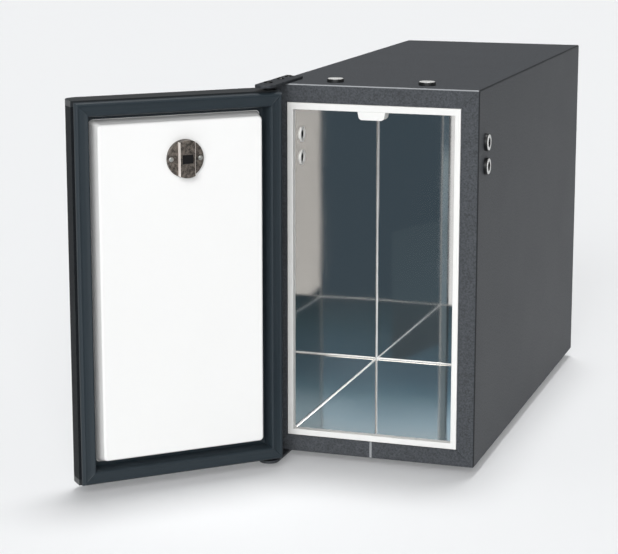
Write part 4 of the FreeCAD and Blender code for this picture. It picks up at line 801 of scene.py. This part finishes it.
class MILKFRIDGE_OT_dial(bpy.types.Operator):
    """Round fitting on the door's inner face with its bar, window and screws"""
    bl_idname = "milk_fridge.dial"
    bl_label = "Dial"

    def execute(self, context):
        dress(cast_alloy("lacquered_die_cast_alloy", look().fitting.dial), "dial_base", "dial_bridge")
        dress(moulded("black_acrylic", linear("#0C0C0D"), 0.12, Specular_IOR_Level=0.2), "dial_window")
        middle_x, middle_z, foot = -2.6 * MM, BASE + 333.5 * MM, FRONT + 2 * MM
        screw_reach, screw_radius, screw_rise = 15.8 * MM, 2.5 * MM, 1.2 * MM
        heads = []
        for x in (middle_x - screw_reach, middle_x + screw_reach):
            points, faces = screw_head((x, foot, middle_z), (0, 1, 0), screw_radius, screw_rise)
            heads.append((swung(points), faces))
        nickel = plated("nickel_plated_steel", linear("#CFCFCB"), 0.42)
        settle("dial_screw_heads", *gathered(heads), "door", "zinc_screw", nickel, ["dial_screws"])
        bar_half, bar_rise, corner, edge = 17.3 * MM, 5.9 * MM, 0.1 * MM, 0.08 * MM
        low, high = (-bar_half, foot), (bar_half, foot + bar_rise)
        edges = []
        # The first strip is the bar's white moulded flank; the second, thinner strip is a painted highlight
        # along the bar's other edge
        for left, right in ((8.0, 8.4), (-8.18, -8.0)):
            points, faces = slab(low, high, [corner] * 4, middle_x + left * MM, middle_x + right * MM, edge)
            upright = points[..., [2, 1, 0]] + np.array([0, 0, middle_z])
            edges.append((swung(upright), faces))
        ivory_and_highlight = moulded("moulded_ivory_abs", linear("#F1E9E3"), 0.35)
        settle("dial_bar_edges", *gathered(edges), "door", "frame_white", ivory_and_highlight)
        return {"FINISHED"}


class MILKFRIDGE_OT_cooling_unit(bpy.types.Operator):
    """Compressor, condenser, fan and pipes behind the rear panel"""
    bl_idname = "milk_fridge.cooling_unit"
    bl_label = "Cooling unit"

    def execute(self, context):
        black = bpy.data.materials["moulded_black_nylon"]
        shell = powder_coat("black_stove_enamel", linear("#1E1F21"), grain=1.0 * MM)
        copper = drawn_metal("drawn_copper", linear("#C98A62"), 0.3, (8.333, 8.333, 8.333))
        dress(shell, "compressor_shell", "compressor_plate", "fan_motor")
        dress(black, "terminal_cover", "control_box", "fan_rotor")
        dress(copper, "suction_pipe", "discharge_pipe", "liquid_pipe", "capillary_pipe", "filter_drier")
        dress(bpy.data.materials["galvanised_sheet"], "fan_shroud", "fan_bracket")
        dress(bpy.data.materials["roll_bonded_aluminium"], "condenser")
        dress(moulded_rubber("moulded_rubber", linear("#191919")), "compressor_mounts")
        return {"FINISHED"}


class MILKFRIDGE_OT_feet(bpy.types.Operator):
    """Four turned rubber feet with a tread ring and a waist"""
    bl_idname = "milk_fridge.feet"
    bl_label = "Feet"

    def execute(self, context):
        tread = [(0, 1), (8.5, 1), (9.2, 0), (11.2, 0), (11.8, 0.3), (12, 0.9), (11.8, 2.2), (11.2, 3)]
        waist = [(10.7, 4.4), (10.4, 6.5), (10.2, 9.4), (9.8, BASE / MM), (0, BASE / MM)]
        profile = np.array(tread + waist) * MM
        inset_x, inset_y = 42 * MM, 45 * MM
        rows = (FRONT + inset_y, BACK - inset_y)
        places = [(side * (HALF - inset_x), y, 0) for side in (-1, 1) for y in rows]
        feet = [turned(profile, place, (0, 0, 1), look().fitting.facets) for place in places]
        rubber = bpy.data.materials["moulded_rubber"]
        settle("feet_turned", *gathered(feet), "cabinet", "black_rubber", rubber, ["feet"])
        return {"FINISHED"}


class MILKFRIDGE_OT_rear_fittings(bpy.types.Operator):
    """Mains inlet and rocker switch in the rear panel, and the panel's screws"""
    bl_idname = "milk_fridge.rear_fittings"
    bl_label = "Rear fittings"

    def execute(self, context):
        fitting = look().fitting
        dress(bpy.data.materials["moulded_black_nylon"], "mains_inlet", "switch_housing", "switch_rocker")
        dress(drawn_metal("turned_brass", linear("#D9B970"), 0.28, (12.5, 0.5556, 12.5)), "inlet_pins")
        inset, corner = 7 * MM, 16 * MM
        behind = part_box("rear_panel")[1].y
        rows = (BASE + corner, (BASE + TOP) / 2, TOP - corner)
        places = [(side * (HALF - inset), z) for side in (-1, 1) for z in rows]
        places += [(0, BASE + inset), (0, TOP - inset)]
        heads = [screw_head((x, behind, z), (0, 1, 0), fitting.screw_head, HEAD_RISE) for x, z in places]
        zinc = plated("zinc_plated_steel", fitting.zinc)
        settle("panel_screw_heads", *gathered(heads), "cabinet", "zinc_screw", zinc, ["panel_screws"])
        return {"FINISHED"}


class MILKFRIDGE_OT_stage(bpy.types.Operator):
    """Pale floor, even dome, two wide soft lamps, glowing cards that paint reflections in the polished steel,
    and the camera
    """
    bl_idname = "milk_fridge.stage"
    bl_label = "Stage"
    # Heights in metres, each with the tone that a card glows with there, a painted reflection of the studio.
    GRADED_TONES = (
        (0.60, "#4C5C68"), (0.69, "#546E7C"), (0.81, "#648196"),
        (0.87, "#7499AF"), (0.96, "#C6E8FF"), (1.10, "#E8F6FF"),
    )
    BANDED_TONES = (
        (0.02, "#74858F"), (0.14, "#76868F"), (0.17, "#7F909A"),
        (0.23, "#87979F"), (0.26, "#5A6A75"), (0.41, "#47555F"),
    )
    EVEN_TONES = ((0.02, "#556671"), (0.13, "#52626D"))

    def execute(self, context):
        scene = context.scene
        scene.view_settings.view_transform = "Standard"
        self.floor()
        self.world(scene)
        self.lamp("top_light", direction=(0.0, 0.18, 1.0), power=1.85, spread=16)
        self.lamp("front_light", direction=(0.19, -0.95, 0.36), power=2.66, spread=44)
        # Cards that glow with painted tones, seen only in reflections
        graded = self.cloth("graded_cloth", self.GRADED_TONES)
        banded = self.cloth("banded_cloth", self.BANDED_TONES)
        even = self.cloth("even_cloth", self.EVEN_TONES)
        self.card("floor_card", graded, self.floor_card())
        for name, cloth, start, end, rise in (
            ("upright_card", graded, (-1.6, -2.7), (1.8, -2.7), (0.004, 1.1)),
            ("hinge_card", banded, (-0.0972, -0.295), (-0.0852, -0.295), (0.012, 0.41)),
            ("low_card", even, (-0.012, -0.285), (-0.091, -0.535), (0.004, 0.13)),
        ):
            self.card(name, cloth, self.upright_card(start, end, rise))
        self.camera(scene)
        return {"FINISHED"}

    def floor(self):
        """A wide flat grid of pale matt paper. What the camera and polished metal see of it is lifted to
        near white, and its bounce on the object isn't."""
        reach, count, glow = 30, 5, 0.19
        side = np.linspace(-reach, reach, count)
        x, y = np.meshgrid(side, side)
        points = np.stack([x, y, np.zeros_like(x)], axis=-1)
        paper, tree, shader, _ = new_finish("matt_paper", linear("#D8D9DA"), 0.9, Specular_IOR_Level=0.1)
        shader.inputs["Emission Color"].default_value = linear("#F2F3F5")
        rays = add(tree, "LightPath").outputs
        seen_by = {0: rays["Is Camera Ray"], 1: rays["Is Glossy Ray"]}
        seen = add(tree, "Math", seen_by, operation="ADD")
        lift = add(tree, "Math", {0: seen.outputs["Value"]}, operation="MULTIPLY")
        lift.inputs[1].default_value = glow
        tree.links.new(lift.outputs["Value"], shader.inputs["Emission Strength"])
        floor = put_in_scene("floor", surface("floor", points, quads(count, count), paper))

    def world(self, scene):
        """An even pale dome."""
        scene.world = bpy.data.worlds.new("studio_dome")
        scene.world.use_nodes = True
        background = scene.world.node_tree.nodes["Background"]
        background.inputs["Color"].default_value = linear("#F4F5F6")
        background.inputs["Strength"].default_value = 0.2

    def lamp(self, name, direction, power, spread):
        """A far, wide light from one direction, so that the floor is lit evenly."""
        light = bpy.data.lights.new(name, "SUN")
        light.energy = power
        light.angle = math.radians(spread)
        lamp = put_in_scene(name, light)
        lamp.location = direction
        lamp.rotation_euler = Vector(direction).to_track_quat("Z", "Y").to_euler()

    def cloth(self, name, tones):
        """Blue-grey glow whose tone changes with its height: a painted reflection of a studio from its floor
        to its lamps.
        Light that the object has scattered meets it as pale paper, so it darkens reflections only."""
        cloth, tree, shader, place = new_finish(name, linear("#000000"), 1.0, Specular_IOR_Level=0.0)
        shader.inputs["Emission Strength"].default_value = 1.0
        height = add(tree, "SeparateXYZ", {"Vector": place}).outputs["Z"]
        low, high = tones[0][0], tones[-1][0]
        share = add(tree, "MapRange", {"Value": height}, From_Min=low, From_Max=high)
        tone = add(tree, "ValToRGB", {"Fac": share.outputs["Result"]})
        stops = tone.color_ramp.elements
        stops[0].color = linear(tones[0][1])
        stops[-1].color = linear(tones[-1][1])
        for level, code in tones[1:-1]:
            stops.new((level - low) / (high - low)).color = linear(code)
        path = add(tree, "LightPath")
        seen = add(tree, "Mix", {"Factor": path.outputs["Diffuse Depth"]}, data_type="RGBA")
        tree.links.new(tone.outputs["Color"], seen.inputs["A"])
        seen.inputs["B"].default_value = linear("#E4E6E8")
        tree.links.new(seen.outputs["Result"], shader.inputs["Emission Color"])
        return cloth

    def floor_card(self):
        """Card on the floor at the right of the opening. Its left edge runs straight between a few places
        and leads away from the opening's middle."""
        right, rise = 1.5, 0.002
        away_at, left_at = (0.29, 0.44, 0.52, 0.6, 0.9, 2.7), (0.03, 0.022, 0.016, 0.01, 0.03, 0.2)
        away, share = np.meshgrid(np.linspace(away_at[0], away_at[-1], 60), np.linspace(0, 1, 6))
        left = np.interp(away, away_at, left_at)
        return np.stack([left + share * (right - left), -away, np.full_like(away, rise)], axis=-1)

    def upright_card(self, start, end, rise):
        """Flat upright card on a line from a start to an end on the floor, between two heights."""
        share, height = np.meshgrid(np.linspace(0, 1, 8), np.linspace(*rise, 6))
        place = np.array(start) + share[..., None] * (np.array(end) - np.array(start))
        return np.concatenate([place, height[..., None]], axis=-1)

    def card(self, name, cloth, points):
        """A card that only polished surfaces see."""
        card = put_in_scene(name, surface(name, points, quads(*points.shape[:2]), cloth))
        card.visible_camera = False
        card.visible_diffuse = False
        card.visible_shadow = False

    def camera(self, scene):
        """Camera at the photograph's viewing angle."""
        lens = bpy.data.cameras.new("camera")
        lens.lens = 111.32
        lens.sensor_width = 36
        lens.sensor_fit = "HORIZONTAL"
        lens.shift_y = -0.06
        lens.clip_end = 200
        down, left = 10.937, 18.42
        camera = put_in_scene("camera", lens)
        camera.location = (0.5596, -2.1615, 0.6291)
        camera.rotation_euler = (math.radians(90 - down), 0, math.radians(left))
        scene.camera = camera


OPERATORS = (
    MILKFRIDGE_OT_casing,
    MILKFRIDGE_OT_cavity,
    MILKFRIDGE_OT_bend_highlights,
    MILKFRIDGE_OT_ports,
    MILKFRIDGE_OT_hinges,
    MILKFRIDGE_OT_door,
    MILKFRIDGE_OT_gasket,
    MILKFRIDGE_OT_dial,
    MILKFRIDGE_OT_cooling_unit,
    MILKFRIDGE_OT_feet,
    MILKFRIDGE_OT_rear_fittings,
    MILKFRIDGE_OT_stage,
)


class MILKFRIDGE_PT_panel(bpy.types.Panel):
    """Lists the pieces and their looks."""
    bl_idname = "MILKFRIDGE_PT_panel"
    bl_label = "Milk Fridge"
    bl_space_type = "VIEW_3D"
    bl_region_type = "UI"
    bl_category = "Milk Fridge"

    def draw(self, context):
        for operator in OPERATORS:
            self.layout.operator(operator.bl_idname)
        looks = context.scene.milk_fridge
        for group in (looks.cabinet, looks.door, looks.fitting):
            for key in group.__annotations__:
                self.layout.prop(group, key)


CLASSES = (CabinetLook, DoorLook, FittingLook, MilkFridgeLook, *OPERATORS, MILKFRIDGE_PT_panel)


def register():
    for cls in CLASSES:
        bpy.utils.register_class(cls)
    bpy.types.Scene.milk_fridge = PointerProperty(type=MilkFridgeLook)


def unregister():
    del bpy.types.Scene.milk_fridge
    for cls in reversed(CLASSES):
        bpy.utils.unregister_class(cls)


def main():
    """Make every piece and the stage."""
    register()
    for operator in OPERATORS:
        group, name = operator.bl_idname.split(".")
        getattr(getattr(bpy.ops, group), name)()


if __name__ == "__main__":
    main()
